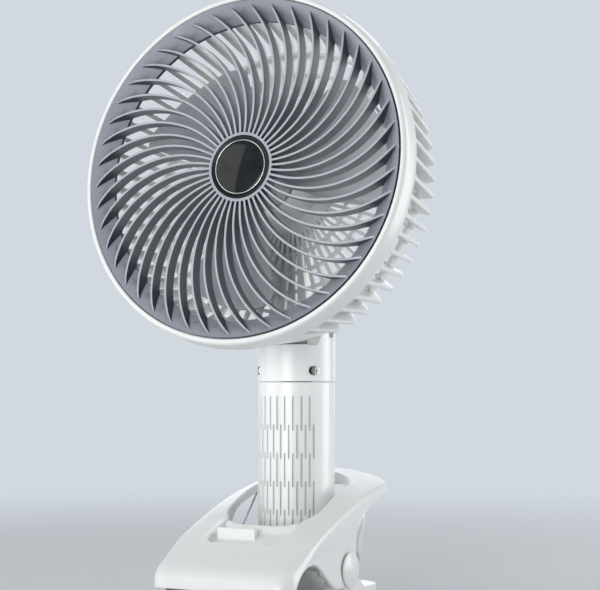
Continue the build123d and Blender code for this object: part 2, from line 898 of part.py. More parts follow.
def rear_holes(radius, inner, heights):
    """Cuts holes outward through the column's wall, either side of straight behind."""
    for height in heights:
        for angle in (90 - column_screw_angle, 90 + column_screw_angle):
            tube(radial_plane(angle, inner, height), radius, far, mode=Mode.SUBTRACT)


with BuildPart() as swivel_stem:
    upright(plug_radius, plug_bottom, split_height, swivel_bore)
    upright(swivel_radius, plug_bottom, clip_high + swivel_end, swivel_bore)
    upright(swivel_radius + 1, clip_low, clip_high, groove_radius, mode=Mode.SUBTRACT)
    rear_holes(screw_radius + running, screw_reach, (plug_screw_height,))
write(swivel_stem, "swivel_stem")

with BuildPart() as swivel_washer_ring:
    upright(swivel_washer_radius, washer_low, clip_low, swivel_radius + running)
write(swivel_washer_ring, "swivel_washer")

with BuildPart() as swivel_clip_ring:
    upright(swivel_clip_radius, clip_low, clip_high, groove_radius + running)
    gap_half = groove_radius * 0.6
    block(-gap_half, gap_half, 0, far, 0, far, mode=Mode.SUBTRACT)
write(swivel_clip_ring, "swivel_clip")


# ---------------------------------------------------------------- column

both_heights = (plug_screw_height, spigot_screw_height)
dash_planes = []
for row in range(dash_rows):
    dash_middle = split_height - dash_first - dash_length / 2 - row * dash_row_pitch
    shift = 0.25 if row % 2 else -0.25
    for column in range(dash_columns):
        dash_angle = -90 + (column - (dash_columns - 1) / 2 + shift) * dash_pitch
        dash_planes.append(radial_plane(dash_angle, column_radius - dash_depth, dash_middle))

with BuildPart() as column_tube:
    upright(column_radius, column_bottom, split_height, column_inner)
    rims = column_tube.edges().group_by(Axis.Z)[-1]
    chamfer(rims.sort_by(SortBy.RADIUS)[-1], column_chamfer)
    with BuildSketch(*dash_planes):
        SlotOverall(dash_length, dash_width, rotation=90)
    extrude(amount=dash_depth + 1, mode=Mode.SUBTRACT)
    rear_holes(screw_radius + screw_play, column_inner - 1, both_heights)
    rear_holes(screw_head_radius + screw_play, screw_seat_radius, both_heights)
    button_hole = radial_plane(90, column_inner - 1, button_height)
    tube(button_hole, button_radius + loose, far, mode=Mode.SUBTRACT)
    with BuildSketch(radial_plane(90, column_inner - 1, port_height)):
        SlotOverall(port_width + 2 * seat_gap, port_depth + 2 * seat_gap)
    extrude(amount=far, mode=Mode.SUBTRACT)
write(column_tube, "column_tube")

with BuildPart() as column_screws:
    for height in both_heights:
        for angle in (90 - column_screw_angle, 90 + column_screw_angle):
            shank_start = radial_plane(angle, screw_seat_radius - column_screw_length, height)
            tube(shank_start, screw_radius, column_screw_length)
            tube(radial_plane(angle, screw_seat_radius, height), screw_head_radius, screw_head / 2)
write(column_screws, "column_screws")

frame_low = column_bottom + spigot_height
cell_low = frame_low + frame_plate
cell_high = cell_low + cell_length
cell_offset = cell_radius + seat_gap
cell_spots = ((cell_offset, -cell_forward), (-cell_offset, -cell_forward))
web_front = cell_radius - cell_forward + loose
web_back = web_front + frame_plate
board_front = web_back + board_standoff
board_back = board_front + board_thickness
board_low = (cell_low + cell_high - board_length) / 2
board_high = board_low + board_length
standoff_spots = [
    (side * (board_half_width - standoff_inset), height)
    for side in (-1, 1)
    for height in (board_low + standoff_inset, board_high - standoff_inset)
]

with BuildPart() as battery_cells:
    upright(cell_radius, cell_low, cell_high - cell_button, at=cell_spots)
    upright(cell_radius * 0.35, cell_high - cell_button, cell_high, at=cell_spots)
write(battery_cells, "battery_cells")

frame_radius = plug_radius - seat_gap
with BuildPart() as battery_frame:
    upright(frame_radius, frame_low, cell_low)
    upright(frame_radius, cell_high, cell_high + frame_plate, swivel_bore)
    block(-web_half_width, web_half_width, web_front, web_back, cell_low, cell_high)
    tube(toward_back.offset(web_back), standoff_radius, board_standoff, at=standoff_spots)
write(battery_frame, "battery_frame")

with BuildPart() as control_board:
    block(-board_half_width, board_half_width, board_front, board_back, board_low, board_high)
    half = switch_width / 2
    switch_face = board_back + switch_height
    block(-half, half, board_back, switch_face, button_height - half, button_height + half)
    for height in (board_low + chip_size, board_low + 4 * chip_size):
        block(-2 * chip_size, -chip_size, board_back, board_back + chip_height,
              height, height + chip_size)
write(control_board, "control_board")

port_face = sqrt(column_radius**2 - (port_width / 2) ** 2)
port_floor = board_back + frame_plate
with BuildPart() as charge_port:
    with BuildSketch(toward_back.offset(board_back)):
        with Locations((0, port_height)):
            SlotOverall(port_width, port_depth)
    extrude(amount=port_face - board_back)
    with BuildSketch(toward_back.offset(port_floor)):
        with Locations((0, port_height)):
            SlotOverall(port_width - 2 * port_wall, port_depth - 2 * port_wall)
    extrude(amount=far, mode=Mode.SUBTRACT)
    tongue = port_width / 3
    block(-tongue, tongue, port_floor, port_face - 1.5, port_height - port_wall, port_height + port_wall)
write(charge_port, "charge_port")

button_spot = ((0, button_height),)
button_face = column_radius + button_proud
flange_face = sqrt(column_inner**2 - button_flange_radius**2) - loose
flange_rear = flange_face - button_flange
stem_end = switch_face + button_travel + 0.1
with BuildPart() as power_button:
    tube(toward_back.offset(stem_end), button_stem_radius, flange_rear - stem_end, at=button_spot)
    tube(toward_back.offset(flange_rear), button_flange_radius, button_flange, at=button_spot)
    tube(toward_back.offset(flange_face), button_radius, button_face - flange_face, at=button_spot)
    fillet(power_button.edges().group_by(Axis.Y)[-1], button_proud / 2)
write(power_button, "power_button")


# ---------------------------------------------------------------- upper jaw

slope_sine = sin(radians(clip_top_slope))
slope_cosine = cos(radians(clip_top_slope))


def clip_edge(y):
    """Height of the flank's upper edge."""
    lean = slope_sine - y / clip_top_curve
    return clip_top_height - clip_top_curve * (slope_cosine - sqrt(1 - lean * lean))


def clip_crown(y):
    """How far the top bulges above the flanks' edges."""
    share = min(max((y + hole_front) / hole_front, 0), 1)
    share = share * share * (3 - 2 * share)
    return clip_front_crown + (clip_rear_crown - clip_front_crown) * share


def clip_section(y):
    """The cross section under the clip's top, wider than the clip."""
    crown = clip_crown(y)
    bend = (clip_half_width**2 + crown**2) / (2 * crown)
    half = clip_half_width + overrun
    edge = clip_edge(y) + crown - bend + sqrt(bend**2 - half**2)
    with BuildSketch(Plane((0, y, 0), x_dir=(1, 0, 0), z_dir=(0, -1, 0)), mode=Mode.PRIVATE) as cut:
        with BuildLine():
            Polyline((half, edge), (half, -overrun), (-half, -overrun), (-half, edge))
            ThreePointArc((-half, edge), (0, clip_edge(y) + crown), (half, edge))
        make_face()
    return cut.sketch


top_steps = 8
top_start = -clip_front - overrun
top_step = (clip_front + clip_rear + 2 * overrun) / top_steps
with BuildPart() as clip_top:
    loft([clip_section(top_start + number * top_step) for number in range(top_steps + 1)])


def under_top(drop, mode=Mode.INTERSECT):
    """Keeps what lies under the clip's top surface, lowered by drop, or cuts it away."""
    with Locations((0, 0, -drop)):
        add(clip_top.part, mode=mode)


def clip_body(inset):
    """Adds the clip's outer form, made smaller by inset."""
    with BuildSketch(mode=Mode.PRIVATE) as outline:
        with Locations((0, (clip_rear - clip_front) / 2)):
            Rectangle(2 * (clip_half_width - inset), clip_front + clip_rear - 2 * inset)
        fillet(outline.vertices().group_by(Axis.Y)[0], clip_front_corner - inset)
        fillet(outline.vertices().group_by(Axis.Y)[-1], clip_rear_corner - inset)
    extrude(outline.sketch, amount=far)
    under_top(inset)


def hole_prism(grow, mode=Mode.ADD):
    """Adds the column hole's outline, made larger by grow."""
    side = hole_half_width + grow
    slab(-side, side, -hole_front - grow, hole_rear + grow, 0, far, hole_corner + grow, mode)


def recess_prism(grow):
    """Adds the front recess's outline, made larger by grow."""
    side = recess_half_width + grow
    slab(-side, side, -recess_front - grow, hole_corner - hole_front, 0, far, recess_corner + grow)


with BuildPart() as recess_cut:
    recess_prism(0)
    under_top(recess_depth, Mode.SUBTRACT)

with BuildPart() as recess_skin:
    recess_prism(clip_wall)
    under_top(recess_depth + clip_wall, Mode.SUBTRACT)

with BuildPart() as rim_skin:
    hole_prism(hole_rim_wall)
    under_top(hole_skirt, Mode.SUBTRACT)

with BuildPart() as clip_inside:
    clip_body(clip_wall)
    add(recess_skin.part, mode=Mode.SUBTRACT)
    add(rim_skin.part, mode=Mode.SUBTRACT)

lower_edge = [
    (-clip_front - 1, lip_height),
    (-clip_front + 7, lip_height + 0.5),
    (-87, 18.6),
    (-83.5, 23.5),
    (-79, 27),
    (-73, 29.7),
    (-notch_forward, 30.5),
    (-60, 28.8),
    (-54, 25),
    (-48.5, 20.7),
    (-41, 15.5),
    (-34, 12.5),
    (-pivot_forward, 14),
    (-8, 18),
    (-8, 32.6),
    (-7.1, 39.8),
    (-4.5, 45.8),
    (-0.8, 50.3),
    (6.4, 54.9),
    (14.6, 57.7),
    (30, 60.5),
    (clip_rear + 1, 66),
]
flank_outline = lower_edge + [(clip_rear + 1, far), (-clip_front - 1, far)]

with BuildPart() as upper_jaw:
    clip_body(0)
    add(clip_inside.part, mode=Mode.SUBTRACT)
    flank(flank_outline, -far, far, mode=Mode.INTERSECT)
    add(recess_cut.part, mode=Mode.SUBTRACT)
    hole_prism(0, mode=Mode.SUBTRACT)
    flank_inner = clip_half_width - clip_wall
    spacer_face = jaw_half_width + loose
    across(pivot_boss_radius, -pivot_forward, pivot_height, flank_inner, clip_half_width)
    across(pivot_boss_radius, -pivot_forward, pivot_height, -clip_half_width, -flank_inner)
    across(spacer_radius, -pivot_forward, pivot_height, spacer_face, flank_inner)
    across(spacer_radius, -pivot_forward, pivot_height, -flank_inner, -spacer_face)
    lip_half = clip_half_width - clip_front_corner
    lip_front = -clip_front + clip_wall / 2
    block(-lip_half, lip_half, lip_front, lip_front + lip_length, lip_height, lip_height + clip_wall)
    across(pivot_radius + running, -pivot_forward, pivot_height, -far, far, mode=Mode.SUBTRACT)
write(upper_jaw, "upper_jaw")

tab_floor = clip_edge(-tab_forward) + clip_front_crown - recess_depth
tab_left = -tab_middle - tab_width / 2
tab_front = -tab_forward - tab_thickness / 2
with BuildPart() as rest_tab:
    block(tab_left, tab_left + tab_width, tab_front, tab_front + tab_thickness,
          tab_floor - 1, tab_floor + tab_height)
    fillet(rest_tab.edges().group_by(Axis.Z)[-1], tab_thickness / 4)
    under_top(recess_depth, Mode.SUBTRACT)
write(rest_tab, "rest_tab")

pad_front = -clip_front + pad_inset
pad_back = pad_front + pad_length
with BuildPart() as upper_pad:
    block(-pad_half_width, pad_half_width, pad_front, pad_back, lip_height - pad_thickness, lip_height)
write(upper_pad, "upper_pad")


# ---------------------------------------------------------------- lower jaw

jaw_nose = lip_height - 2 * pad_thickness - pad_gap
jaw_skin = jaw_deck - jaw_wall
jaw_inner = jaw_half_width - jaw_wall
cover_top = foot_height + cover_thickness
cover_seat = foot_height + screw_head / 2
spigot_top = column_bottom + spigot_height
cover_spots = [
    (side * (jaw_half_width - cover_screw_inset), y)
    for side in (-1, 1)
    for y in (-jaw_front + cover_screw_front, jaw_rear - cover_screw_rear)
]
foot_spots = [(0, 0)] + [
    (side * (jaw_half_width - foot_inset), y)
    for side in (-1, 1)
    for y in (-jaw_front + foot_inset, jaw_rear - foot_inset)
]
cheek_outline = [
    (-cheek_front, jaw_skin),
    (cheek_rear, jaw_skin),
    (-pivot_forward + cheek_radius * 0.9, pivot_height + cheek_radius * 0.4),
    (-pivot_forward - cheek_radius * 0.9, pivot_height + cheek_radius * 0.4),
]


def jaw_slab(inset, low, high, mode=Mode.ADD):
    """Adds the lower jaw's plan outline, made smaller by inset, between two heights."""
    side = jaw_half_width - inset
    slab(-side, side, -jaw_front + inset, jaw_rear - inset, low, high, jaw_corner - inset, mode)


with BuildPart() as lower_jaw:
    side = jaw_half_width
    slab(-side, side, -jaw_front, -saddle_rear, jaw_skin, jaw_nose, saddle_corner)
    jaw_slab(0, foot_height, jaw_deck)
    jaw_slab(0, 0, far, Mode.INTERSECT)
    jaw_slab(jaw_wall, 0, jaw_skin, Mode.SUBTRACT)
    across(notch_radius, -notch_forward, notch_height, -far, far, mode=Mode.SUBTRACT)
    cheek_inner = side - cheek_thickness
    for left, right in ((-side, -cheek_inner), (cheek_inner, side)):
        flank(cheek_outline, left, right)
        across(cheek_radius, -pivot_forward, pivot_height, left, right)
    upright(column_radius, jaw_skin, column_bottom)
    upright(plug_radius, column_bottom, spigot_top)
    upright(pedestal_core, 0, column_bottom - jaw_wall, mode=Mode.SUBTRACT)
    upright(swivel_bore, 0, spigot_top, mode=Mode.SUBTRACT)
    across(pivot_radius + running, -pivot_forward, pivot_height, -far, far, mode=Mode.SUBTRACT)
    rear_holes(screw_radius + running, screw_reach, (spigot_screw_height,))
    upright(cover_boss_radius, cover_top, jaw_skin, screw_radius + running, at=cover_spots)
write(lower_jaw, "lower_jaw")

with BuildPart() as lower_pad:
    block(-pad_half_width, pad_half_width, pad_front, pad_back, jaw_nose, jaw_nose + pad_thickness)
    jaw_slab(0, 0, far, Mode.INTERSECT)
write(lower_pad, "lower_pad")

with BuildPart() as base_cover:
    jaw_slab(jaw_wall + seat_gap, foot_height, cover_top)
    foot_hole = foot_radius + seat_gap
    upright(foot_hole, 0, foot_height + foot_recess, at=foot_spots, mode=Mode.SUBTRACT)
    upright(screw_radius + screw_play, 0, far, at=cover_spots, mode=Mode.SUBTRACT)
    upright(screw_head_radius + screw_play, 0, cover_seat, at=cover_spots, mode=Mode.SUBTRACT)
write(base_cover, "base_cover")

with BuildPart() as cover_screws:
    upright(screw_head_radius, foot_height, cover_seat, at=cover_spots)
    upright(screw_radius, cover_seat, cover_seat + jaw_skin - cover_top, at=cover_spots)
write(cover_screws, "cover_screws")

with BuildPart() as base_feet:
    upright(foot_radius, 0, foot_height + foot_recess, at=foot_spots)
    fillet(base_feet.edges().group_by(Axis.Z)[0], foot_rounding)
write(base_feet, "base_feet")

cap_face = clip_half_width + seat_gap
cap_top = cap_face + cap_thickness
pin_end = cap_face + cap_depth - 0.1
with BuildPart() as pivot_pin:
    across(pivot_radius, -pivot_forward, pivot_height, -pin_end, pin_end)
write(pivot_pin, "pivot_pin")

with BuildPart() as pivot_caps:
    for side in (-1, 1):
        cap_plane = Plane(pivot_axis.position, x_dir=(side, 0, 0), z_dir=(0, -side, 0))
        with BuildSketch(cap_plane, mode=Mode.PRIVATE) as cap_outline:
            with BuildLine():
                Polyline(
                    (cap_top, 0),
                    (cap_face + cap_depth, 0),
                    (cap_face + cap_depth, pivot_radius + running),
                    (cap_face, pivot_radius + running),
                    (cap_face, cap_radius),
                    (cap_face + cap_rim, cap_radius),
                )
                cap_middle = cap_top - dome_drop(cap_radius, cap_thickness - cap_rim, cap_radius / 2)
                ThreePointArc(
                    (cap_face + cap_rim, cap_radius),
                    (cap_middle, cap_radius / 2),
                    (cap_top, 0),
                )
            make_face()
        revolve(cap_outline.sketch, axis=pivot_axis)
write(pivot_caps, "pivot_caps")


# ---------------------------------------------------------------- clip springs

# Each coil goes round the pivot pin. One end stands on the lower jaw behind the pivot,
# the other presses up on the inside of the upper jaw's lever.

spring_width = spring_turns * spring_pitch
spring_inner = spring_middle - spring_width / 2
spring_outer = spring_middle + spring_width / 2
foot_drop = pivot_height - jaw_deck - spring_wire / 2 - loose
arm_y = spring_arm_reach - pivot_forward
arm_crown = clip_crown(arm_y) * (1 - (spring_outer / (clip_half_width - clip_wall)) ** 2)
arm_rise = clip_edge(arm_y) - clip_wall + arm_crown - spring_wire - loose - pivot_height
foot_distance = hypot(spring_foot_reach, foot_drop)
arm_distance = hypot(spring_arm_reach, arm_rise)
foot_angle = -degrees(atan(foot_drop / spring_foot_reach) + acos(spring_radius / foot_distance))
arm_angle = degrees(atan(arm_rise / spring_arm_reach) + acos(spring_radius / arm_distance))
last_sweep = (foot_angle - arm_angle) % 360


def coil_point(angle, x):
    """A point on the coil's centre line."""
    y = -pivot_forward + spring_radius * cos(radians(angle))
    return (x, y, pivot_height + spring_radius * sin(radians(angle)))


def spring_path(side):
    """The wire's centre line: foot, half turns, a last part turn, arm."""
    at_foot = (side * spring_inner, spring_foot_reach - pivot_forward, pivot_height - foot_drop)
    at_arm = (side * spring_outer, arm_y, pivot_height + arm_rise)
    Line(at_foot, coil_point(foot_angle, side * spring_inner))
    for number in range(2 * spring_turns):
        angle = foot_angle - 180 * number
        x = spring_inner + number * spring_pitch / 2
        ThreePointArc(
            coil_point(angle, side * x),
            coil_point(angle - 90, side * (x + spring_pitch / 4)),
            coil_point(angle - 180, side * (x + spring_pitch / 2)),
        )
    ThreePointArc(
        coil_point(foot_angle, side * spring_outer),
        coil_point(foot_angle - last_sweep / 2, side * spring_outer),
        coil_point(foot_angle - last_sweep, side * spring_outer),
    )
    Line(coil_point(arm_angle, side * spring_outer), at_arm)


def least_gap(wire):
    """The least space between the wire's turns, measured on points along it."""
    count = 400
    points = [wire @ (number / count) for number in range(count + 1)]
    apart = int(3 * spring_wire / wire.length * count) + 1
    least = far
    for first in range(count + 1):
        for second in range(first + apart, count + 1):
            least = min(least, (points[first] - points[second]).length)
    return least - spring_wire


with BuildPart() as clip_springs:
    for side in (-1, 1):
        with BuildLine(mode=Mode.PRIVATE) as path:
            spring_path(side)
        wire = path.wires()[0]
        with BuildSketch(Plane(origin=wire @ 0, z_dir=wire % 0), mode=Mode.PRIVATE) as wire_end:
            Circle(spring_wire / 2)
        sweep(wire_end.sketch, path=wire)
        print("clip spring, side", side, "least gap", round(least_gap(wire), 2))
write(clip_springs, "clip_springs")
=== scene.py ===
import json
from math import acos, atan, cos, degrees, hypot, pi, radians, sin, sqrt

import bmesh
import bpy
from mathutils import Matrix, Vector


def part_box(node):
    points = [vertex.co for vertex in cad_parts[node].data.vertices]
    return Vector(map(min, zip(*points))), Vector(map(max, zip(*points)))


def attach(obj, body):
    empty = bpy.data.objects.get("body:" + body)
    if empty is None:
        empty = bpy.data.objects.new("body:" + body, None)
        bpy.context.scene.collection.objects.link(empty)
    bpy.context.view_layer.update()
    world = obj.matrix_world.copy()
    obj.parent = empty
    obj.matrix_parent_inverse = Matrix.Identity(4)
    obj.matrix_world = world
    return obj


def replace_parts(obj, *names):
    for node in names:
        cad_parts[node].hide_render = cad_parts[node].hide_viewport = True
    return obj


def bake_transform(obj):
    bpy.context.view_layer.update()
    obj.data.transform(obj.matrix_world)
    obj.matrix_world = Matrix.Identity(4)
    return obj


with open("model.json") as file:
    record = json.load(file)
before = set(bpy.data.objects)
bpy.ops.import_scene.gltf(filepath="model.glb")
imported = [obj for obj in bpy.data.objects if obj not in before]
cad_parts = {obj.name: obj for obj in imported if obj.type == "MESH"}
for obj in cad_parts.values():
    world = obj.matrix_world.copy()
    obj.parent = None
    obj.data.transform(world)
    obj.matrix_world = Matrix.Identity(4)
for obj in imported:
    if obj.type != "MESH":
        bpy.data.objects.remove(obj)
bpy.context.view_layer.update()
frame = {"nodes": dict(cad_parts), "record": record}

nodes = frame["nodes"]
mm = 0.001
print("frame loaded,", len(nodes), "nodes")


# camera: the head is seen a little from its right and from below

viewpoint = {
    "place": (0.41473, -0.83155, 0.13241),
    "turn": 26.381,  # degrees round Z
    "pitch": 2.877,  # degrees up
    "lens": 94.62,
    "sensor": 36.0,
}

cameraData = bpy.data.cameras.new("photoCamera")
cameraData.lens = viewpoint["lens"]
cameraData.sensor_width = viewpoint["sensor"]
cameraData.clip_start = 0.05
cameraData.clip_end = 20
camera = bpy.data.objects.new("photoCamera", cameraData)
camera.location = viewpoint["place"]
camera.rotation_euler = (radians(90 + viewpoint["pitch"]), 0, radians(viewpoint["turn"]))
bpy.context.scene.collection.objects.link(camera)
bpy.context.scene.camera = camera
bpy.context.scene.view_settings.view_transform = "Standard"
print("camera set")


# small helpers for the finishes

def addNode(tree, kind, inputs=None, **settings):
    node = tree.nodes.new(kind)
    for key, value in settings.items():
        setattr(node, key, value)
    for key, value in (inputs or {}).items():
        if isinstance(value, bpy.types.NodeSocket):
            tree.links.new(value, node.inputs[key])
        else:
            node.inputs[key].default_value = value
    return node


def mixTones(tree, share, first, second):
    mix = addNode(tree, "ShaderNodeMix", data_type="RGBA")
    for index, value in ((0, share), (6, first), (7, second)):
        if isinstance(value, bpy.types.NodeSocket):
            tree.links.new(value, mix.inputs[index])
        else:
            mix.inputs[index].default_value = value
    return mix.outputs[2]


def remap(tree, value, low, high, newLow, newHigh):
    return addNode(tree, "ShaderNodeMapRange", {
        "Value": value, "From Min": low, "From Max": high, "To Min": newLow, "To Max": newHigh,
    }).outputs["Result"]


def noise(tree, place, scale, detail=3.0, stretch=None):
    if stretch:
        place = addNode(tree, "ShaderNodeMapping", {"Vector": place, "Scale": stretch}).outputs[0]
    inputs = {"Vector": place, "Scale": scale, "Detail": detail}
    return addNode(tree, "ShaderNodeTexNoise", inputs).outputs[0]


# sockets of the shader that a look may set by their own names
plainSockets = ("Metallic", "IOR", "Coat Weight", "Coat Roughness", "Coat IOR",
                "Specular IOR Level", "Sheen Weight")


def startFinish(name, look):
    finish = bpy.data.materials.new(name)
    finish.use_nodes = True
    shader = finish.node_tree.nodes["Principled BSDF"]
    for key in plainSockets:
        if key in look:
            shader.inputs[key].default_value = look[key]
    place = addNode(finish.node_tree, "ShaderNodeTexCoord").outputs["Object"]
    return finish, finish.node_tree, shader, place


def wire(tree, shader, colour, roughness, height, look):
    # soft moulded edges come from the bevel normal under the grain
    edge = addNode(tree, "ShaderNodeBevel", {"Radius": look["edge"] * mm}, samples=4).outputs[0]
    bump = addNode(tree, "ShaderNodeBump", {
        "Strength": look["bump"], "Distance": look["grainDepth"] * mm,
        "Height": height, "Normal": edge,
    })
    tree.links.new(colour, shader.inputs["Base Color"])
    tree.links.new(roughness, shader.inputs["Roughness"])
    tree.links.new(bump.outputs[0], shader.inputs["Normal"])


def shareOf(tree, value, low, high):
    return remap(tree, value, low, high, 0.0, 1.0)


def edgeShare(tree, low, high):
    point = addNode(tree, "ShaderNodeNewGeometry").outputs["Pointiness"]
    return shareOf(tree, point, low, high)


def roughOf(tree, value, look):
    # a noise sits mostly between 0.3 and 0.7, and carries the look's two ends there
    return remap(tree, value, 0.3, 0.7, look["rough"][0], look["rough"][1])


def mouldedFinish(name, look):
    finish, tree, shader, place = startFinish(name, look)
    cloud = noise(tree, place, look["cloud"], 4.0)
    grain = noise(tree, place, look["grain"], 2.0)
    smear = noise(tree, place, look["cloud"] * 4, 5.0, (1, 1, 0.35))
    tone = mixTones(tree, shareOf(tree, cloud, 0.3, 0.7), look["tone"], look["tint"])
    worn = mixTones(tree, edgeShare(tree, 0.52, 0.62), tone, look["rub"])
    dusty = mixTones(tree, edgeShare(tree, 0.48, 0.40), worn, look["dust"])
    wire(tree, shader, dusty, roughOf(tree, smear, look), grain, look)
    return finish


def metalFinish(name, look):
    finish, tree, shader, place = startFinish(name, look)
    streak = noise(tree, place, look["streak"], 3.0, look["along"])
    blotch = noise(tree, place, look["cloud"], 4.0)
    tone = mixTones(tree, shareOf(tree, blotch, 0.35, 0.7), look["tone"], look["tint"])
    bright = mixTones(tree, edgeShare(tree, 0.52, 0.60), tone, look["rub"])
    wire(tree, shader, bright, roughOf(tree, streak, look), streak, look)
    return finish


# finishes of the fan, one dictionary each
# tone and tint are the two shades that cloud into each other, rub and dust show at the edges
# white, bezel, steel and spring start at 0.285 rough: a surface that crosses about 0.275 gets
# faint specks, because Cycles cleans its noise in another way below that

whiteLook = {
    "tone": (0.800, 0.815, 0.806, 1), "tint": (0.836, 0.842, 0.828, 1),
    "rub": (0.88, 0.885, 0.88, 1), "dust": (0.60, 0.62, 0.62, 1),
    "rough": (0.285, 0.38), "cloud": 22.0, "grain": 2600.0,
    "bump": 0.10, "grainDepth": 0.05, "edge": 0.55,
    "Coat Weight": 0.30, "Coat Roughness": 0.12, "IOR": 1.47,
}
grilleLook = {
    "tone": (0.320, 0.336, 0.382, 1), "tint": (0.360, 0.376, 0.422, 1),
    # flank is painted shade: the darker tone the vane flanks get in place of the shade between the
    # vanes
    "flank": (0.060, 0.067, 0.085, 1),
    "facing": (0, -0.9912, 0.1323),  # the way the head faces
    "rub": (0.45, 0.46, 0.49, 1), "dust": (0.10, 0.11, 0.13, 1),
    "rough": (0.38, 0.50), "cloud": 30.0, "grain": 4200.0,
    "bump": 0.14, "grainDepth": 0.04, "edge": 0.25,
    "Metallic": 0.25, "Coat Weight": 0.1, "Coat Roughness": 0.2, "IOR": 1.5,
}
bladeLook = {
    "tone": (0.365, 0.385, 0.420, 1), "tint": (0.410, 0.428, 0.460, 1),
    "rub": (0.52, 0.53, 0.55, 1), "dust": (0.22, 0.23, 0.25, 1),
    "rough": (0.40, 0.52), "cloud": 26.0, "grain": 3000.0,
    "bump": 0.08, "grainDepth": 0.04, "edge": 0.6,
    "Coat Weight": 0.2, "Coat Roughness": 0.15, "IOR": 1.47,
}
bezelLook = {
    "tone": (0.004, 0.005, 0.005, 1), "tint": (0.008, 0.009, 0.010, 1),
    "rub": (0.03, 0.03, 0.032, 1), "dust": (0.012, 0.012, 0.013, 1),
    "rough": (0.285, 0.36), "cloud": 90.0, "grain": 5200.0,
    "bump": 0.10, "grainDepth": 0.03, "edge": 0.3,
    "Coat Weight": 0.0, "IOR": 1.45, "Specular IOR Level": 0.2,
}
innerBlackLook = {
    "tone": (0.020, 0.020, 0.022, 1), "tint": (0.034, 0.034, 0.036, 1),
    "rub": (0.11, 0.11, 0.11, 1), "dust": (0.06, 0.06, 0.058, 1),
    "rough": (0.45, 0.6), "cloud": 60.0, "grain": 2400.0,
    "bump": 0.2, "grainDepth": 0.05, "edge": 0.3,
    "IOR": 1.45,
}
chromeLook = {
    "tone": (0.52, 0.53, 0.53, 1), "tint": (0.62, 0.62, 0.62, 1), "rub": (0.78, 0.78, 0.78, 1),
    "rough": (0.10, 0.20), "cloud": 120.0, "streak": 900.0, "along": (1, 1, 1),
    "bump": 0.04, "grainDepth": 0.01, "edge": 0.15, "Metallic": 1.0,
}
steelLook = {
    "tone": (0.50, 0.50, 0.51, 1), "tint": (0.62, 0.62, 0.62, 1), "rub": (0.80, 0.80, 0.80, 1),
    "rough": (0.285, 0.42), "cloud": 180.0, "streak": 1500.0, "along": (0.15, 1, 1),
    "bump": 0.10, "grainDepth": 0.02, "edge": 0.2, "Metallic": 1.0,
}
springLook = {
    "tone": (0.66, 0.66, 0.67, 1), "tint": (0.76, 0.76, 0.76, 1), "rub": (0.85, 0.85, 0.85, 1),
    "rough": (0.285, 0.45), "cloud": 220.0, "streak": 2400.0, "along": (1, 0.2, 0.2),
    "bump": 0.12, "grainDepth": 0.02, "edge": 0.1, "Metallic": 1.0,
}
magnetLook = {
    "tone": (0.045, 0.045, 0.05, 1), "tint": (0.075, 0.075, 0.08, 1), "rub": (0.16, 0.16, 0.17, 1),
    "rough": (0.45, 0.7), "cloud": 400.0, "streak": 3200.0, "along": (1, 1, 1),
    "bump": 0.3, "grainDepth": 0.05, "edge": 0.2, "Metallic": 0.55,
}
brassLook = {
    "tone": (0.56, 0.40, 0.19, 1), "tint": (0.66, 0.49, 0.25, 1), "rub": (0.82, 0.66, 0.38, 1),
    "rough": (0.3, 0.5), "cloud": 500.0, "streak": 2800.0, "along": (1, 1, 1),
    "bump": 0.25, "grainDepth": 0.04, "edge": 0.15, "Metallic": 1.0,
}


discLook = {
    "tone": (0.006, 0.008, 0.008, 1), "tint": (0.016, 0.018, 0.020, 1),
    "rough": (0.04, 0.10), "haze": 160.0, "hair": 900.0, "along": (0.06, 1, 1),
    "bump": 0.02, "grainDepth": 0.01, "edge": 0.2,
    "IOR": 1.45, "Coat Weight": 0.6, "Coat Roughness": 0.03, "Coat IOR": 1.33,
    "Specular IOR Level": 0.12,
}
rubberLook = {
    "tone": (0.070, 0.070, 0.073, 1), "tint": (0.105, 0.105, 0.108, 1), "speck": (0.2, 0.2, 0.2, 1),
    "rough": (0.62, 0.82), "bloom": 70.0, "grain": 1800.0,
    "bump": 0.5, "grainDepth": 0.08, "edge": 0.4, "IOR": 1.5, "Sheen Weight": 0.15,
}
boardLook = {
    "tone": (0.010, 0.085, 0.030, 1), "tint": (0.016, 0.120, 0.045, 1),
    "track": (0.05, 0.26, 0.10, 1), "trackScale": 260.0, "trackWidth": 0.035,
    "trackLength": 1.3, "trackPitch": 0.42, "trackShift": 0.37,
    "rough": (0.3, 0.42), "cloud": 300.0,
    "bump": 0.4, "grainDepth": 0.06, "edge": 0.15,
    "IOR": 1.5, "Coat Weight": 0.5, "Coat Roughness": 0.2,
}
windingLook = {
    "tone": (0.30, 0.10, 0.035, 1), "tint": (0.62, 0.26, 0.11, 1),
    "rough": (0.25, 0.4), "cloud": 350.0, "turns": 700.0, "uneven": 1.2,
    "bump": 0.7, "grainDepth": 0.12, "edge": 0.15,
    "Metallic": 0.9, "Coat Weight": 0.6, "Coat Roughness": 0.15,
}
sleeveLook = {
    "tone": (0.030, 0.110, 0.260, 1), "tint": (0.045, 0.150, 0.330, 1),
    "rub": (0.30, 0.38, 0.50, 1),
    "rough": (0.2, 0.34), "cloud": 40.0, "wrinkle": 150.0, "along": (1, 1, 0.25),
    "bump": 0.25, "grainDepth": 0.15, "edge": 0.3,
    "IOR": 1.5, "Coat Weight": 0.4, "Coat Roughness": 0.1,
}


def polishedDisc(look):
    # deep gloss with faint dust and hairlines that only show in the reflections
    finish, tree, shader, place = startFinish("polishedDisc", look)
    haze = noise(tree, place, look["haze"], 5.0)
    hair = noise(tree, place, look["hair"], 2.0, look["along"])
    tone = mixTones(tree, shareOf(tree, haze, 0.35, 0.75), look["tone"], look["tint"])
    wire(tree, shader, tone, roughOf(tree, haze, look), hair, look)
    return finish


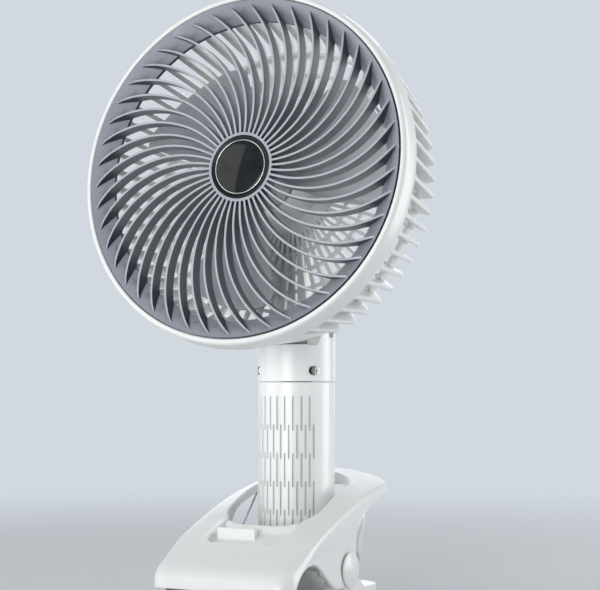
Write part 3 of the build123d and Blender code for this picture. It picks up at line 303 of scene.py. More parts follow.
def rubberFinish(look):
    finish, tree, shader, place = startFinish("padRubber", look)
    grain = noise(tree, place, look["grain"], 6.0)
    bloom = noise(tree, place, look["bloom"], 4.0)
    tone = mixTones(tree, shareOf(tree, bloom, 0.35, 0.7), look["tone"], look["tint"])
    speck = mixTones(tree, remap(tree, grain, 0.62, 0.72, 0.0, 0.6), tone, look["speck"])
    wire(tree, shader, speck, roughOf(tree, bloom, look), grain, look)
    return finish


def boardFinish(look):
    # solder mask with tracks under it
    finish, tree, shader, place = startFinish("boardGreen", look)
    flat = addNode(tree, "ShaderNodeMapping", {
        "Vector": place, "Rotation": (radians(90), 0, 0),
    }).outputs[0]
    tracks = addNode(tree, "ShaderNodeTexBrick", {
        "Vector": flat, "Color1": (0, 0, 0, 1), "Color2": (0, 0, 0, 1), "Mortar": (1, 1, 1, 1),
        "Scale": look["trackScale"], "Mortar Size": look["trackWidth"],
        "Brick Width": look["trackLength"], "Row Height": look["trackPitch"],
    }, offset=look["trackShift"]).outputs[0]
    cloud = noise(tree, place, look["cloud"], 3.0)
    mask = mixTones(tree, cloud, look["tone"], look["tint"])
    tone = mixTones(tree, tracks, mask, look["track"])
    wire(tree, shader, tone, roughOf(tree, cloud, look), tracks, look)
    return finish


def windingFinish(look):
    # lacquered wire laid in fine turns
    finish, tree, shader, place = startFinish("windingCopper", look)
    turns = addNode(tree, "ShaderNodeTexWave", {
        "Vector": place, "Scale": look["turns"], "Distortion": look["uneven"], "Detail": 2.0,
    }).outputs[1]
    cloud = noise(tree, place, look["cloud"], 3.0)
    tone = mixTones(tree, turns, look["tone"], look["tint"])
    wire(tree, shader, tone, roughOf(tree, cloud, look), turns, look)
    return finish


def sleeveFinish(look):
    # shrink sleeve of the cells: slight wrinkles and an uneven sheen
    finish, tree, shader, place = startFinish("cellSleeve", look)
    wrinkle = noise(tree, place, look["wrinkle"], 4.0, look["along"])
    cloud = noise(tree, place, look["cloud"], 3.0)
    tone = mixTones(tree, cloud, look["tone"], look["tint"])
    rim = mixTones(tree, edgeShare(tree, 0.53, 0.60), tone, look["rub"])
    wire(tree, shader, rim, roughOf(tree, wrinkle, look), wrinkle, look)
    return finish


def grilleFinish(look):
    # satin paint; the vane flanks, which stand across the head's axis, get a darker tone that is
    # painted shade
    finish, tree, shader, place = startFinish("grilleGrey", look)
    cloud = noise(tree, place, look["cloud"], 4.0)
    grain = noise(tree, place, look["grain"], 2.0)
    # how squarely a face looks along the head's axis: faces turned across it get the painted shade
    # of the flanks
    normal = addNode(tree, "ShaderNodeTexCoord").outputs["Normal"]
    facing = addNode(tree, "ShaderNodeVectorMath", {0: normal, 1: look["facing"]},
                     operation="DOT_PRODUCT").outputs["Value"]
    turned = addNode(tree, "ShaderNodeMath", {0: facing}, operation="ABSOLUTE").outputs[0]
    front = shareOf(tree, turned, 0.2, 0.7)
    face = mixTones(tree, shareOf(tree, cloud, 0.3, 0.7), look["tone"], look["tint"])
    # painted shade: the flank tone goes where a face turns across the head's axis
    tone = mixTones(tree, front, look["flank"], face)
    worn = mixTones(tree, edgeShare(tree, 0.55, 0.70), tone, look["rub"])
    dusty = mixTones(tree, edgeShare(tree, 0.48, 0.40), worn, look["dust"])
    wire(tree, shader, dusty, roughOf(tree, cloud, look), grain, look)
    return finish


finishes = {
    "shell_white": mouldedFinish("shellWhite", whiteLook),
    "grille_grey": grilleFinish(grilleLook),
    "blade_grey": mouldedFinish("bladeGrey", bladeLook),
    "badge_black": mouldedFinish("bezelBlack", bezelLook),
    "badge_gloss": polishedDisc(discLook),
    "black_plastic": mouldedFinish("innerBlack", innerBlackLook),
    "chrome_line": metalFinish("chromeLine", chromeLook),
    "bright_steel": metalFinish("turnedSteel", steelLook),
    "spring_steel": metalFinish("springWire", springLook),
    "magnet_dark": metalFinish("magnetDark", magnetLook),
    "bushing_brass": metalFinish("bushingBrass", brassLook),
    "winding_brass": windingFinish(windingLook),
    "cell_wrap": sleeveFinish(sleeveLook),
    "board_green": boardFinish(boardLook),
    "pad_rubber": rubberFinish(rubberLook),
}
for part in frame["record"]["subparts"]:
    for slot in nodes[part["node"]].material_slots:
        slot.material = finishes[part["material_slot"]]
print("finishes made and given to the nodes:", len(finishes))


# shapes

def makePiece(bm, name, slotName, body=None):
    # a finished mesh in millimetres becomes a piece in metres, with its place in its mesh
    bmesh.ops.scale(bm, vec=(mm, mm, mm), verts=bm.verts)
    for face in bm.faces:
        face.smooth = True
    mesh = bpy.data.meshes.new(name)
    bm.to_mesh(mesh)
    bm.free()
    piece = bpy.data.objects.new(name, mesh)
    bpy.context.scene.collection.objects.link(piece)
    mesh.materials.append(finishes[slotName])
    if body:
        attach(piece, body)
    return piece


def onlyVerts(geom):
    return [item for item in geom if isinstance(item, bmesh.types.BMVert)]


def growEdges(bm, edges):
    # extrudes a line of edges and gives back the new verts and the new edges between them
    grown = bmesh.ops.extrude_edge_only(bm, edges=edges)["geom"]
    verts = onlyVerts(grown)
    fresh = set(verts)
    return verts, [item for item in grown
                   if isinstance(item, bmesh.types.BMEdge) and set(item.verts) <= fresh]


def ease(share):
    # from 0 to 1 with a smooth start and end
    share = min(max(share, 0), 1)
    return share * share * (3 - 2 * share)


def alongPath(path, count):
    # points evenly spaced along straight runs
    runs = [(Vector(b) - Vector(a)).length for a, b in zip(path, path[1:])]
    spots = []
    for number in range(count + 1):
        left = sum(runs) * number / count
        run = 0
        while run < len(runs) - 1 and left > runs[run]:
            left -= runs[run]
            run += 1
        spots.append(Vector(path[run]).lerp(Vector(path[run + 1]), min(left / runs[run], 1)))
    return spots


def arc(centre, radius, start, end, steps=12):
    angles = [radians(start + (end - start) * step / steps) for step in range(steps + 1)]
    return [(centre[0] + radius * cos(angle), centre[1] + radius * sin(angle)) for angle in angles]


def stations(stretches):
    # the stops of a row: each stretch is a path and how many steps it is cut into
    spots = []
    for path, count in stretches:
        spots += alongPath(path, count)[:-1]
    return spots + [Vector(stretches[-1][0][-1])]


def sideways(outline):
    # unit normals of a half outline, from the front's middle to the rear's, away from the hole
    normals = []
    for number in range(len(outline)):
        before = outline[max(number - 1, 0)]
        after = outline[min(number + 1, len(outline) - 1)]
        along = (after - before).normalized()
        normals.append(Vector((along.y, -along.x)))
    normals[0] = Vector((0, -1))
    normals[-1] = Vector((0, 1))
    return normals


# upper shell of the clip, one skin drawn row by row from the hole's skirt to the lower edge

clip = {
    "halfWidth": 43.0, "front": -95.0, "rear": 45.0, "frontCorner": 9.0, "rearCorner": 13.0,
    "topHeight": 61.0, "topCurve": 360.0, "topSlope": 12.5, "frontCrown": 0.8, "rearCrown": 8.0,
    "holeHalf": 29.0, "holeFront": -46.0, "holeRear": 27.0, "holeCorner": 21.0, "skirt": 5.0,
    "recessHalf": 23.0, "recessFront": -67.0, "recessCorner": 5.0, "recessDepth": 3.5,
    "recessFade": 6.0,  # the recess runs out where its edge comes this near to the hole
    "rimRise": 0.55, "topStart": 5.0,
    "edgeRound": 2.4, "noseRound": 6.2, "noseBlend": 26.0, "edgeReach": 1.5,
    "wall": 2.2, "hollow": 1.0, "hollowTall": 40.0, "flankLeast": 0.8,
    "lipHeight": 17.0, "lipRiseFrom": 7.0, "lipRiseSlope": 1.2,
    "pivot": (-19.0, 22.5), "boss": 12.0, "bossSweep": (-130, 30, 10),
    "tailStart": 4.0, "tailFrom": 30.0, "tailHeight": 60.5, "tailSlope": 0.344, "leverEnd": 60.9,
}

# how the skin is cut up: steps along each stretch of a row, from the front's middle to the rear's,
# and where the hole's corner (degrees) and the flank (place from front to rear) change stretch
clipCuts = {
    "steps": (8, 6, 14, 6, 16, 12, 6),
    "hole": (-72, -64),
    "flank": (-45, -27, 8),
    "top": (0.25, 0.5, 0.75),  # rows from the bead to the rounded edge
    "edge": ((0.75, 0.04), (0.29, 0.29), (0.04, 0.75)),  # reach and drop in shares of the rounding
    "side": (0.15, 0.32, 0.5, 0.68, 0.85, 0.95, 1.0),  # rows down the flank
}

# lower edge of the flank, each point a place from front to rear and a height
archLine = ((-86, 19.4), (-83.5, 23.5), (-79, 27), (-73, 29.7), (-66, 30.5), (-60, 28.8),
            (-54, 25), (-48.5, 20.7), (-45, 18.2))
throatLine = ((-45, 18.2), (-41, 15.5), (-34, 12.6))
cheekLine = ((-8, 32.6), (-7.1, 39.8), (-4.5, 45.8), (-0.8, 50.3))
leverLine = ((-0.8, 50.3), (6.4, 54.9), (14.6, 57.7), (22, 59.1))


def clipEdge(y):
    lean = sin(radians(clip["topSlope"])) - y / clip["topCurve"]
    level = cos(radians(clip["topSlope"])) - sqrt(1 - lean * lean)
    return clip["topHeight"] - clip["topCurve"] * level


def clipCrown(y):
    share = ease((y - clip["holeFront"]) / -clip["holeFront"])
    return clip["frontCrown"] + (clip["rearCrown"] - clip["frontCrown"]) * share


def clipTop(x, y):
    crown = clipCrown(y)
    bend = (clip["halfWidth"] ** 2 + crown ** 2) / (2 * crown)
    return clipEdge(y) + crown - bend + sqrt(bend * bend - x * x)


def clipOutlines():
    # half outlines from above: the hole with its recess, the hole alone, and the shell's own edge
    side, rear, front = clip["halfWidth"], clip["rear"], clip["front"]
    hole, recess, corner = clip["holeHalf"], clip["recessHalf"], clip["holeCorner"]
    frontRound, rearRound = clip["frontCorner"], clip["rearCorner"]
    small, recessFront = clip["recessCorner"], clip["recessFront"]
    firstCut, secondCut = clipCuts["hole"]
    archEnd, throatEnd, cheekEnd = clipCuts["flank"]
    bendX = hole - corner
    frontBend = (bendX, clip["holeFront"] + corner)
    rearBend = (bendX, clip["holeRear"] - corner)
    tailBend = (side - rearRound, rear - rearRound)
    meet = -degrees(acos((recess - bendX) / corner))  # where the recess meets the hole's corner
    meetPoint = arc(frontBend, corner, meet, meet, 1)[0]
    shared = [
        arc(frontBend, corner, meet, 0),
        [(hole, frontBend[1]), (hole, rearBend[1])],
        arc(rearBend, corner, 0, 90),
        [(bendX, clip["holeRear"]), (0, clip["holeRear"])],
    ]
    opening = [
        [(0, recessFront), (recess - small, recessFront)],
        arc((recess - small, recessFront + small), small, -90, 0),
        [(recess, recessFront + small), meetPoint],
    ] + shared
    holeFace = [(0, clip["holeFront"]), (bendX, clip["holeFront"])]
    holeLine = [
        holeFace + arc(frontBend, corner, -90, firstCut)[1:],
        arc(frontBend, corner, firstCut, secondCut),
        arc(frontBend, corner, secondCut, meet),
    ] + shared
    outer = [
        [(0, front), (side - frontRound, front)],
        arc((side - frontRound, front + frontRound), frontRound, -90, 0),
        [(side, front + frontRound), (side, archEnd)],
        [(side, archEnd), (side, throatEnd)],
        [(side, throatEnd), (side, cheekEnd)],
        [(side, cheekEnd), (side, tailBend[1])] + arc(tailBend, rearRound, 0, 90)[1:],
        [(tailBend[0], rear), (0, rear)],
    ]
    return [stations(list(zip(line, clipCuts["steps"]))) for line in (opening, holeLine, outer)]


def clipLowerEdge(outer):
    # the lower edge under each station of the shell's own edge
    side, tail = clip["halfWidth"], clip["rear"] - clip["rearCorner"]
    pivotY, pivotZ = clip["pivot"]
    steps = clipCuts["steps"]
    sweepStart, sweepEnd, sweepStep = clip["bossSweep"]
    sweep = [radians(angle) for angle in range(sweepStart, sweepEnd + 1, sweepStep)]
    boss = tuple((pivotY + clip["boss"] * cos(angle), pivotZ + clip["boss"] * sin(angle))
                 for angle in sweep)
    stretches = (
        (archLine, steps[2]),
        (throatLine + boss[:1], steps[3]),
        (boss + cheekLine, steps[4]),
        (leverLine, steps[5] // 2),
        ((leverLine[-1], (tail, clip["leverEnd"])), steps[5] // 2),
    )
    lower = stations([([(side, y, z) for y, z in line], count) for line, count in stretches])
    archStart = steps[0] + steps[1]
    for number in range(steps[2]):
        # over the jaw's arch the flank is low, so its rows stand straight above the lower edge
        outer[archStart + number].y = lower[number].y
    lowest = []
    for number, spot in enumerate(outer):
        if number < archStart:
            lift = max(spot.y - (clip["front"] + clip["lipRiseFrom"]), 0) * clip["lipRiseSlope"]
            lowest.append(Vector((spot.x, spot.y, clip["lipHeight"] + lift)))
        elif number - archStart < len(lower) and spot.y < tail - clip["tailStart"]:
            lowest.append(lower[number - archStart])
        else:
            height = clip["tailHeight"] + (spot.y - clip["tailFrom"]) * clip["tailSlope"]
            lowest.append(Vector((spot.x, spot.y, height)))
    return lowest


def besideLine(line, normals, reach, drop):
    # a row beside an outline: reach is how far out, drop how far under the top
    spots = []
    for spot, normal, out, down in zip(line, normals, reach, drop):
        x = spot.x + normal.x * out
        y = spot.y + normal.y * out
        spots.append(Vector((x, y, clipTop(x, y) - down)))
    return spots


def clipRows():
    opening, holeLine, outer = clipOutlines()
    lowest = clipLowerEdge(outer)
    out, holeOut, away = sideways(opening), sideways(holeLine), sideways(outer)
    count = len(opening)
    depth, rise = clip["recessDepth"], clip["rimRise"]
    # how fully the recess is there at a station
    full = [min((a - b).length / clip["recessFade"], 1) for a, b in zip(opening, holeLine)]
    # the nose rolls over in a wide curve, the flanks in a tight one
    soft = []
    for spot in outer:
        back = ease((spot.y - clip["front"] - clip["frontCorner"]) / clip["noseBlend"])
        soft.append(clip["noseRound"] + (clip["edgeRound"] - clip["noseRound"]) * back)

    def roundHole(line, normals, reach, floor, wall):
        # floor is the drop where the recess is, wall the drop where the hole has none
        drop = [floor * share + wall * (1 - share) for share in full]
        return besideLine(line, normals, [reach * share for share in full], drop)

    # skirt, bead and floor of the recess, from the hole outwards
    rows = [besideLine(holeLine, holeOut, [0] * count, [clip["skirt"]] * count)]
    for reach, floor, wall in (
        (0, 1.5, 4.2), (0.2, 0.5, 3.6), (0.8, -0.2, 3.0), (1.8, -0.3, 2.5), (2.8, 0.5, 2.2),
        (3.7, 1.9, 2.0), (4.8, depth - 0.4, 1.8), (6.2, depth, 1.7),
    ):
        rows.append(roundHole(holeLine, holeOut, reach, floor, wall))
    # wall of the recess
    for reach, floor, wall in (
        (-2.0, depth, 1.6), (-0.7, depth - 0.2, 1.3), (-0.1, depth - 1.0, 1.1),
    ):
        rows.append(roundHole(opening, out, reach, floor, wall))
    # bead round the recess and the hole, and the start of the top
    for reach, drop in (
        (0, 0.9 - rise), (0.35, 0.3 - rise), (1.1, -rise), (2.2, -rise * 0.75),
        (3.6, -rise * 0.15), (clip["topStart"], 0),
    ):
        rows.append(besideLine(opening, out, [reach] * count, [drop] * count))
    start = rows[-1]
    end = besideLine(outer, away, [-clip["edgeReach"] * size for size in soft], [0] * count)
    for step in clipCuts["top"]:
        between = [a.lerp(b, step) for a, b in zip(start, end)]
        rows.append([Vector((spot.x, spot.y, clipTop(spot.x, spot.y))) for spot in between])
    rows.append(end)
    for reach, drop in clipCuts["edge"]:
        rows.append(besideLine(outer, away, [-reach * size for size in soft],
                               [drop * size for size in soft]))
    shoulder = besideLine(outer, away, [0] * count, [clip["edgeReach"] * size for size in soft])
    for spot, foot in zip(shoulder, lowest):
        spot.z = max(spot.z, foot.z + clip["flankLeast"])
    rows.append(shoulder)
    for step in clipCuts["side"]:
        flankRow = []
        for a, b in zip(shoulder, lowest):
            spot = a.lerp(b, step)
            if spot.x > clip["halfWidth"] - 0.1:
                # a tall flank is slightly hollow
                tall = min((a.z - b.z) / clip["hollowTall"], 1)
                spot.x -= clip["hollow"] * tall * sin(pi * step) ** 2
            flankRow.append(spot)
        rows.append(flankRow)
    return rows


def clipShell():
    rows = clipRows()
    bm = bmesh.new()
    station = bm.verts.layers.int.new("station")
    line = [bm.verts.new(spot) for spot in rows[0]]
    for number, vert in enumerate(line):
        vert[station] = number
    edges = [bm.edges.new(pair) for pair in zip(line, line[1:])]
    for row in rows[1:]:
        fresh, edges = growEdges(bm, edges)
        for vert in fresh:
            vert.co = row[vert[station]]
    bmesh.ops.mirror(bm, geom=bm.verts[:] + bm.edges[:] + bm.faces[:], axis="X", merge_dist=0.01)
    bmesh.ops.remove_doubles(bm, verts=bm.verts, dist=0.01)
    bmesh.ops.recalc_face_normals(bm, faces=bm.faces)
    topmost = max(bm.faces, key=lambda face: face.calc_center_median().z)
    if topmost.normal.z < 0:
        bmesh.ops.reverse_faces(bm, faces=bm.faces)
    shell = makePiece(bm, "clipShell", "shell_white", "upper_jaw")
    wall = shell.modifiers.new("wall", "SOLIDIFY")
    wall.thickness = clip["wall"] * mm
    wall.offset = -1
    wall.use_even_offset = False
    smooth = shell.modifiers.new("smooth", "SUBSURF")
    smooth.levels = smooth.render_levels = 1
    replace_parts(shell, "upper_jaw")


clipShell()
print("clip shell drawn")


# lip that carries the upper grip pad, and the spacers that keep the jaws' cheeks apart

lip = {
    "half": 34.0, "front": -93.8, "length": 9.5, "soften": 0.35,
    # ribs that tie the lip to the shell's nose
    "ribs": 7, "ribPitch": 10.0, "ribWide": 1.4, "ribTall": 5.0, "ribShort": 2.0,
    "ribMiddle": 4.4, "ribDip": 1.2,
}
spacer = {"inner": 38.35, "inset": 1.0, "bore": 2.1, "radius": 6.0, "chamfer": 0.3, "sides": 40}


def clipLip():
    bm = bmesh.new()
    length = lip["length"]
    middle = lip["front"] + length / 2
    ribHeight = clip["lipHeight"] + lip["ribMiddle"]
    bmesh.ops.create_cube(bm, size=1.0)
    bmesh.ops.scale(bm, vec=(2 * lip["half"], length, clip["wall"]), verts=bm.verts)
    bmesh.ops.translate(bm, vec=(0, middle, clip["lipHeight"] + clip["wall"] / 2), verts=bm.verts)
    for number in range(lip["ribs"]):
        x = (number - (lip["ribs"] - 1) / 2) * lip["ribPitch"]
        rib = bmesh.ops.create_cube(bm, size=1.0)["verts"]
        ribSize = (lip["ribWide"], length - lip["ribShort"], lip["ribTall"])
        bmesh.ops.scale(bm, vec=ribSize, verts=rib)
        bmesh.ops.translate(bm, vec=(x, middle, ribHeight), verts=rib)
        for vert in rib:
            if vert.co.z > ribHeight and vert.co.y < middle:
                vert.co.z -= lip["ribDip"]
    bmesh.ops.bevel(bm, geom=bm.edges[:], offset=lip["soften"], offset_type="OFFSET", segments=2,
                    profile=0.5, affect="EDGES", material=-1)
    makePiece(bm, "clipLip", "shell_white", "upper_jaw")


def clipSpacers():
    bm = bmesh.new()
    pivotY, pivotZ = clip["pivot"]
    inner, outer = spacer["inner"], clip["halfWidth"] - spacer["inset"]
    bore, radius, chamfer = spacer["bore"], spacer["radius"], spacer["chamfer"]
    # from the bore's outer end round the inner face to the outer end again
    profile = ((inner + chamfer, bore), (inner, bore + chamfer), (inner, radius - chamfer),
               (inner + chamfer, radius), (outer, radius))
    for side in (-1, 1):
        ring = bmesh.ops.create_circle(bm, segments=spacer["sides"], radius=bore, cap_ends=False)
        first = ring["verts"]
        quarter = Matrix.Rotation(radians(90), 3, "Y")
        bmesh.ops.rotate(bm, cent=(0, 0, 0), matrix=quarter, verts=first)
        bmesh.ops.translate(bm, vec=(side * outer, pivotY, pivotZ), verts=first)
        edges = list({edge for vert in first for edge in vert.link_edges})
        for x, size in profile:
            fresh, edges = growEdges(bm, edges)
            for vert in fresh:
                across = Vector((0, vert.co.y - pivotY, vert.co.z - pivotZ)).normalized() * size
                vert.co = Vector((side * x, pivotY, pivotZ)) + across
        firstEdges = {edge for vert in first for edge in vert.link_edges
                      if set(edge.verts) <= set(first)}
        bmesh.ops.bridge_loops(bm, edges=edges + list(firstEdges))
    bmesh.ops.recalc_face_normals(bm, faces=bm.faces)
    makePiece(bm, "clipSpacers", "shell_white", "upper_jaw")


clipLip()
clipSpacers()
print("lip and spacers added")


# ribbed rubber strips in the place of the plain pads

gripPad = {"ribs": 22, "ribHeight": 0.5, "ribSlope": 0.45, "ribEdge": 0.12, "sharpAngle": 0.6}


def ribbedPad(name, node, body, facing):
    low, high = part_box(node)
    low, high = low / mm, high / mm
    bm = bmesh.new()
    bmesh.ops.create_cube(bm, size=1.0)
    size = high - low
    size.z -= gripPad["ribHeight"]
    middle = (low + high) / 2
    middle.z -= facing * gripPad["ribHeight"] / 2
    bmesh.ops.scale(bm, vec=size, verts=bm.verts)
    bmesh.ops.translate(bm, vec=middle, verts=bm.verts)
    for number in range(1, gripPad["ribs"]):
        x = low.x + (high.x - low.x) * number / gripPad["ribs"]
        bmesh.ops.bisect_plane(bm, geom=bm.verts[:] + bm.edges[:] + bm.faces[:], dist=0.001,
                               plane_co=(x, 0, 0), plane_no=(1, 0, 0))
    bm.normal_update()
    grips = [face for face in bm.faces if face.normal.z * facing > 0.9]  # the side that grips
    bmesh.ops.inset_individual(bm, faces=grips, thickness=gripPad["ribSlope"],
                               depth=gripPad["ribHeight"])
    sharp = [edge for edge in bm.edges if edge.calc_face_angle(0) > gripPad["sharpAngle"]]
    bmesh.ops.bevel(bm, geom=sharp, offset=gripPad["ribEdge"], offset_type="OFFSET", segments=2,
                    profile=0.5, affect="EDGES", material=-1, clamp_overlap=True)
    bmesh.ops.recalc_face_normals(bm, faces=bm.faces)
    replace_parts(makePiece(bm, name, "pad_rubber", body), node)


ribbedPad("upperGrip", "upper_pad", "upper_jaw", -1)
ribbedPad("lowerGrip", "lower_pad", "base", 1)
print("grip pads ribbed")


# torsion springs of the clip: foot, turns round the pivot pin, arm

spring = {
    "wire": 1.2, "radius": 4.2, "turns": 3, "pitch": 2.85, "middle": 29.0,
    "footReach": 22.0, "armReach": 34.0, "deck": 9.0, "loose": 0.35, "shellWall": 2.4,
    "wireSides": 10,
    "turnSteps": 24,  # in each full turn
    "lastSteps": 4,  # in each radian of the part turn before the arm
}


def clipSpring(name, side):
    pivotY, pivotZ = clip["pivot"]
    radius, pitch = spring["radius"], spring["pitch"]
    inner = spring["middle"] - spring["turns"] * pitch / 2
    outer = spring["middle"] + spring["turns"] * pitch / 2
    footDrop = pivotZ - spring["deck"] - spring["wire"] / 2 - spring["loose"]
    armY = spring["armReach"] + pivotY
    armCrown = clipCrown(armY) * (1 - (outer / (clip["halfWidth"] - spring["shellWall"])) ** 2)
    underTop = clipEdge(armY) - spring["shellWall"] + armCrown
    armRise = underTop - spring["wire"] - spring["loose"] - pivotZ
    # the straight ends touch the coil where they leave it
    footAngle = (-atan(footDrop / spring["footReach"])
                 - acos(radius / hypot(spring["footReach"], footDrop)))
    armAngle = (atan(armRise / spring["armReach"])
                + acos(radius / hypot(spring["armReach"], armRise)))
    lastTurn = (footAngle - armAngle) % (2 * pi)

    def onCoil(angle, x):
        return Vector((side * x, pivotY + radius * cos(angle), pivotZ + radius * sin(angle)))

    foot = Vector((side * inner, spring["footReach"] + pivotY, pivotZ - footDrop))
    armEnd = Vector((side * outer, armY, pivotZ + armRise))
    leave = onCoil(footAngle, inner)
    bm = bmesh.new()
    ring = bmesh.ops.create_circle(bm, segments=spring["wireSides"], radius=spring["wire"] / 2,
                                   cap_ends=False)
    turned = (leave - foot).to_track_quat("Z", "X").to_matrix().to_4x4()
    bmesh.ops.transform(bm, matrix=Matrix.Translation(foot) @ turned, verts=ring["verts"])

    def onward(edges, shift):
        fresh, edges = growEdges(bm, edges)
        bmesh.ops.translate(bm, vec=shift, verts=fresh)
        return edges

    edges = onward(bm.edges[:], leave - foot)
    steps = spring["turnSteps"] * spring["turns"]
    centre = (side * inner, pivotY, pivotZ)
    step = side * pitch * spring["turns"] / steps
    last = bmesh.ops.spin(bm, geom=edges, cent=centre, axis=(1, 0, 0), dvec=(step, 0, 0),
                          angle=-2 * pi * spring["turns"], steps=steps,
                          use_duplicate=False)["geom_last"]
    edges = [item for item in last if isinstance(item, bmesh.types.BMEdge)]
    last = bmesh.ops.spin(bm, geom=edges, cent=centre, axis=(1, 0, 0), dvec=(0, 0, 0),
                          angle=-lastTurn, steps=max(int(lastTurn * spring["lastSteps"]), 2),
                          use_duplicate=False)["geom_last"]
    edges = [item for item in last if isinstance(item, bmesh.types.BMEdge)]
    onward(edges, armEnd - onCoil(armAngle, outer))
    bmesh.ops.holes_fill(bm, edges=bm.edges, sides=spring["wireSides"])
    bmesh.ops.recalc_face_normals(bm, faces=bm.faces)
    piece = makePiece(bm, name, "spring_steel")
    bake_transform(piece)
    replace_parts(piece, "clip_springs")


clipSpring("clipSpringLeft", -1)
clipSpring("clipSpringRight", 1)
print("springs wound")


# head: rounder, thicker cage ribs, a wider black bezel and a soft band

head = {"centre": Vector((0, -72.3, 247.3)), "tilt": radians(7.6)}
headForward = Vector((0, -cos(head["tilt"]), sin(head["tilt"])))
headUp = Vector((0, sin(head["tilt"]), cos(head["tilt"])))


def headPoint(radius, angle, depth, aside=0.0):
    # radius and angle round the head's axis, depth behind the rim, aside across the radius
    out = Vector((cos(angle), 0, 0)) + headUp * sin(angle)
    across = Vector((-sin(angle), 0, 0)) + headUp * cos(angle)
    return head["centre"] + out * radius + across * aside - headForward * depth


cageRib = {
    "count": 60, "chinHalf": 21.5, "first": 0.2, "thick": 2.7, "round": 1.05,
    "outline": ((100.1, 13.0), (93.25, 58.6), (92.3, 60.9), (90.6, 61.9), (86.2, 63.4),
                (85.2, 62.2), (86.6, 55.5), (94.9, 13.0)),
}


def cageRibs():
    bm = bmesh.new()
    half = cageRib["thick"] / 2
    side = bm.faces.new([bm.verts.new(headPoint(radius, 0, depth, -half))
                         for radius, depth in cageRib["outline"]])
    grown = bmesh.ops.extrude_face_region(bm, geom=[side], use_keep_orig=True)["geom"]
    across = headPoint(0, 0, 0, 2 * half) - headPoint(0, 0, 0)
    bmesh.ops.translate(bm, vec=across, verts=onlyVerts(grown))
    bmesh.ops.recalc_face_normals(bm, faces=bm.faces)
    bmesh.ops.bevel(bm, geom=bm.edges[:], offset=cageRib["round"], offset_type="OFFSET",
                    segments=3, profile=0.5, affect="EDGES", material=-1, clamp_overlap=True)
    first = bm.verts[:] + bm.edges[:] + bm.faces[:]
    pitch = 360 / cageRib["count"]
    for number in range(cageRib["count"]):
        angle = -90 + (number + cageRib["first"]) * pitch
        if abs((angle + 270) % 360 - 180) < cageRib["chinHalf"]:
            continue  # the chin is smooth
        copied = bmesh.ops.duplicate(bm, geom=first)["geom"]
        turn = Matrix.Rotation(radians(angle), 3, headForward)
        bmesh.ops.rotate(bm, cent=head["centre"], matrix=turn, verts=onlyVerts(copied))
    bmesh.ops.delete(bm, geom=onlyVerts(first), context="VERTS")
    bmesh.ops.recalc_face_normals(bm, faces=bm.faces)
    makePiece(bm, "cageRibs", "shell_white", "head")


# outlines of the turned pieces, each point a radius and a depth behind the rim
bezelLine = ((18.15, 2.7), (18.12, 2.2), (17.9, 1.98), (17.5, 2.0), (16.3, 2.3), (15.8, 2.5),
             (15.55, 2.7), (15.55, 6.9), (17.45, 6.9), (17.45, 2.7))
trimLine = ((15.5, 3.7), (15.5, 2.3), (15.38, 2.12), (15.2, 2.08), (15.02, 2.14), (14.95, 2.3),
            (14.95, 3.7))
faceLine = ((0, 1.7), (2.5, 1.72), (5, 1.78), (7.5, 1.878), (10, 2.015), (12.5, 2.192),
            (13.8, 2.3), (14.5, 2.38), (14.8, 2.5), (14.9, 2.72), (14.9, 3.7), (0, 3.7))
bandLine = ((96.6, 3.0), (96.62, 1.0), (96.72, 0.62), (96.98, 0.28), (97.4, 0.08), (97.9, 0.0),
            (98.55, 0.13), (99.15, 0.5), (99.65, 1.2), (99.98, 2.2), (100.2, 3.6), (100.42, 5.8),
            (100.7, 8.8), (100.96, 11.3), (100.9, 11.75), (100.6, 12.0), (98.6, 12.0), (97.6, 3.0))


def turnedPiece(name, line, slotName, node, steps):
    bm = bmesh.new()
    verts = [bm.verts.new(headPoint(radius, 0, depth)) for radius, depth in line]
    run = [bm.edges.new(pair) for pair in zip(verts, verts[1:])]
    if line[0][0] > 0:
        # a ring's outline closes, a disc's ends on the axis
        run.append(bm.edges.new((verts[-1], verts[0])))
    bmesh.ops.spin(bm, geom=run, cent=head["centre"], axis=headForward, angle=2 * pi, steps=steps,
                   use_merge=True, use_duplicate=False)
    bmesh.ops.remove_doubles(bm, verts=bm.verts, dist=0.0005)
    bmesh.ops.recalc_face_normals(bm, faces=bm.faces)
    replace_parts(makePiece(bm, name, slotName, "head"), node)


cageRibs()
turnedPiece("badgeBezel", bezelLine, "badge_black", "badge_cup", 96)
turnedPiece("badgeLine", trimLine, "chrome_line", "badge_trim", 120)
turnedPiece("badgeFace", faceLine, "badge_gloss", "badge_disc", 120)
turnedPiece("roundBand", bandLine, "shell_white", "drum_band", 256)
print("cage ribs, badge and band turned")


# floor, backdrop and lamps

studio = {
    "backdrop": (0.640, 0.685, 0.740, 1),
    "fill": (0.93, 0.96, 1.0, 1), "fillStrength": 0.39,
    "floorTone": (0.72, 0.75, 0.78, 1), "floorTint": (0.75, 0.78, 0.81, 1),
    "floorFade": (0.30, 0.95), "floorRadius": 1.6, "floorHeight": -0.0002,
    "aim": (0.0, -0.03, 0.17),
}


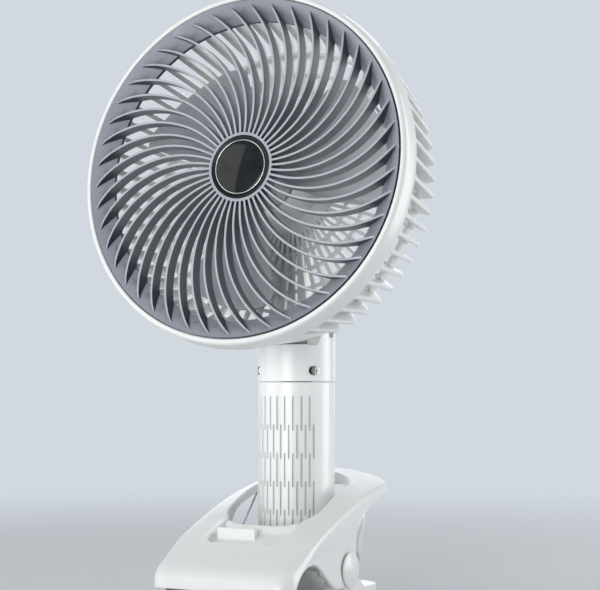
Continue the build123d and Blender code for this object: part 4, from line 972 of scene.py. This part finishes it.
def backdropWorld():
    world = bpy.data.worlds.new("studio")
    world.use_nodes = True
    bpy.context.scene.world = world
    tree = world.node_tree
    tree.nodes.clear()
    rays = addNode(tree, "ShaderNodeLightPath").outputs
    # the backdrop is seen, also in gloss and through glass, and the fill lights the rest
    direct = addNode(tree, "ShaderNodeMath", {
        0: rays["Is Camera Ray"], 1: rays["Is Glossy Ray"],
    }, operation="MAXIMUM").outputs[0]
    seen = addNode(tree, "ShaderNodeMath", {
        0: direct, 1: rays["Is Transmission Ray"],
    }, operation="MAXIMUM").outputs[0]
    fill = addNode(tree, "ShaderNodeBackground", {
        "Color": studio["fill"], "Strength": studio["fillStrength"],
    }).outputs[0]
    plain = addNode(tree, "ShaderNodeBackground", {
        "Color": studio["backdrop"], "Strength": 1.0,
    }).outputs[0]
    both = addNode(tree, "ShaderNodeMixShader", {0: seen, 1: fill, 2: plain})
    addNode(tree, "ShaderNodeOutputWorld", {"Surface": both.outputs[0]})


def studioFloor():
    # the floor fades into the backdrop away from the fan
    bm = bmesh.new()
    bmesh.ops.create_circle(bm, segments=96, radius=studio["floorRadius"], cap_ends=True)
    mesh = bpy.data.meshes.new("studioFloor")
    bm.to_mesh(mesh)
    bm.free()
    floor = bpy.data.objects.new("studioFloor", mesh)
    floor.location = (0, 0, studio["floorHeight"])
    bpy.context.scene.collection.objects.link(floor)
    finish = bpy.data.materials.new("floorPaper")
    finish.use_nodes = True
    tree = finish.node_tree
    tree.nodes.clear()
    place = addNode(tree, "ShaderNodeTexCoord").outputs["Object"]
    fibre = noise(tree, place, 500.0, 5.0)
    tone = mixTones(tree, fibre, studio["floorTone"], studio["floorTint"])
    paper = addNode(tree, "ShaderNodeBsdfDiffuse", {"Color": tone})
    clear = addNode(tree, "ShaderNodeBsdfTransparent")
    away = addNode(tree, "ShaderNodeVectorMath", {0: place}, operation="LENGTH").outputs["Value"]
    share = addNode(tree, "ShaderNodeMapRange", {
        "Value": away, "From Min": studio["floorFade"][0], "From Max": studio["floorFade"][1],
    }, interpolation_type="SMOOTHSTEP").outputs["Result"]
    both = addNode(tree, "ShaderNodeMixShader", {
        0: share, 1: paper.outputs[0], 2: clear.outputs[0],
    })
    addNode(tree, "ShaderNodeOutputMaterial", {"Surface": both.outputs[0]})
    mesh.materials.append(finish)


# turn is degrees to the right of the camera, seen from the fan, and far is in metres
lamps = {
    "frontBox": {"turn": -28, "rise": 2, "far": 1.7, "size": (0.9, 0.9),
                 "power": 14.8, "tone": (1.0, 0.99, 0.98)},
    "leftBox": {"turn": -78, "rise": 8, "far": 1.5, "size": (1.15, 1.4),
                "power": 7.6, "tone": (1.0, 0.99, 0.98)},
    "rightBox": {"turn": 101, "rise": 8, "far": 1.2, "size": (0.6, 1.2),
                 "power": 8.8, "tone": (1.0, 1.0, 0.99)},
    "backBox": {"turn": 178, "rise": 16, "far": 1.7, "size": (1.2, 1.2),
                "power": 4.5, "tone": (0.98, 0.99, 1.0)},
    "topBox": {"turn": -30, "rise": 68, "far": 1.5, "size": (1.1, 0.9),
               "power": 1.0, "tone": (0.97, 0.99, 1.0)},
}


def addLamp(name, look):
    data = bpy.data.lights.new(name, "AREA")
    data.shape = "RECTANGLE"
    data.size, data.size_y = look["size"]
    data.energy = look["power"]
    data.color = look["tone"]
    lamp = bpy.data.objects.new(name, data)
    turn = radians(viewpoint["turn"] + look["turn"])
    rise = radians(look["rise"])
    toward = Vector((sin(turn) * cos(rise), -cos(turn) * cos(rise), sin(rise)))
    lamp.location = Vector(studio["aim"]) + toward * look["far"]
    lamp.rotation_euler = toward.to_track_quat("Z", "Y").to_euler()
    bpy.context.scene.collection.objects.link(lamp)


backdropWorld()
studioFloor()
for lampName, lampLook in lamps.items():
    addLamp(lampName, lampLook)
print("studio lit")

bpy.context.view_layer.update()
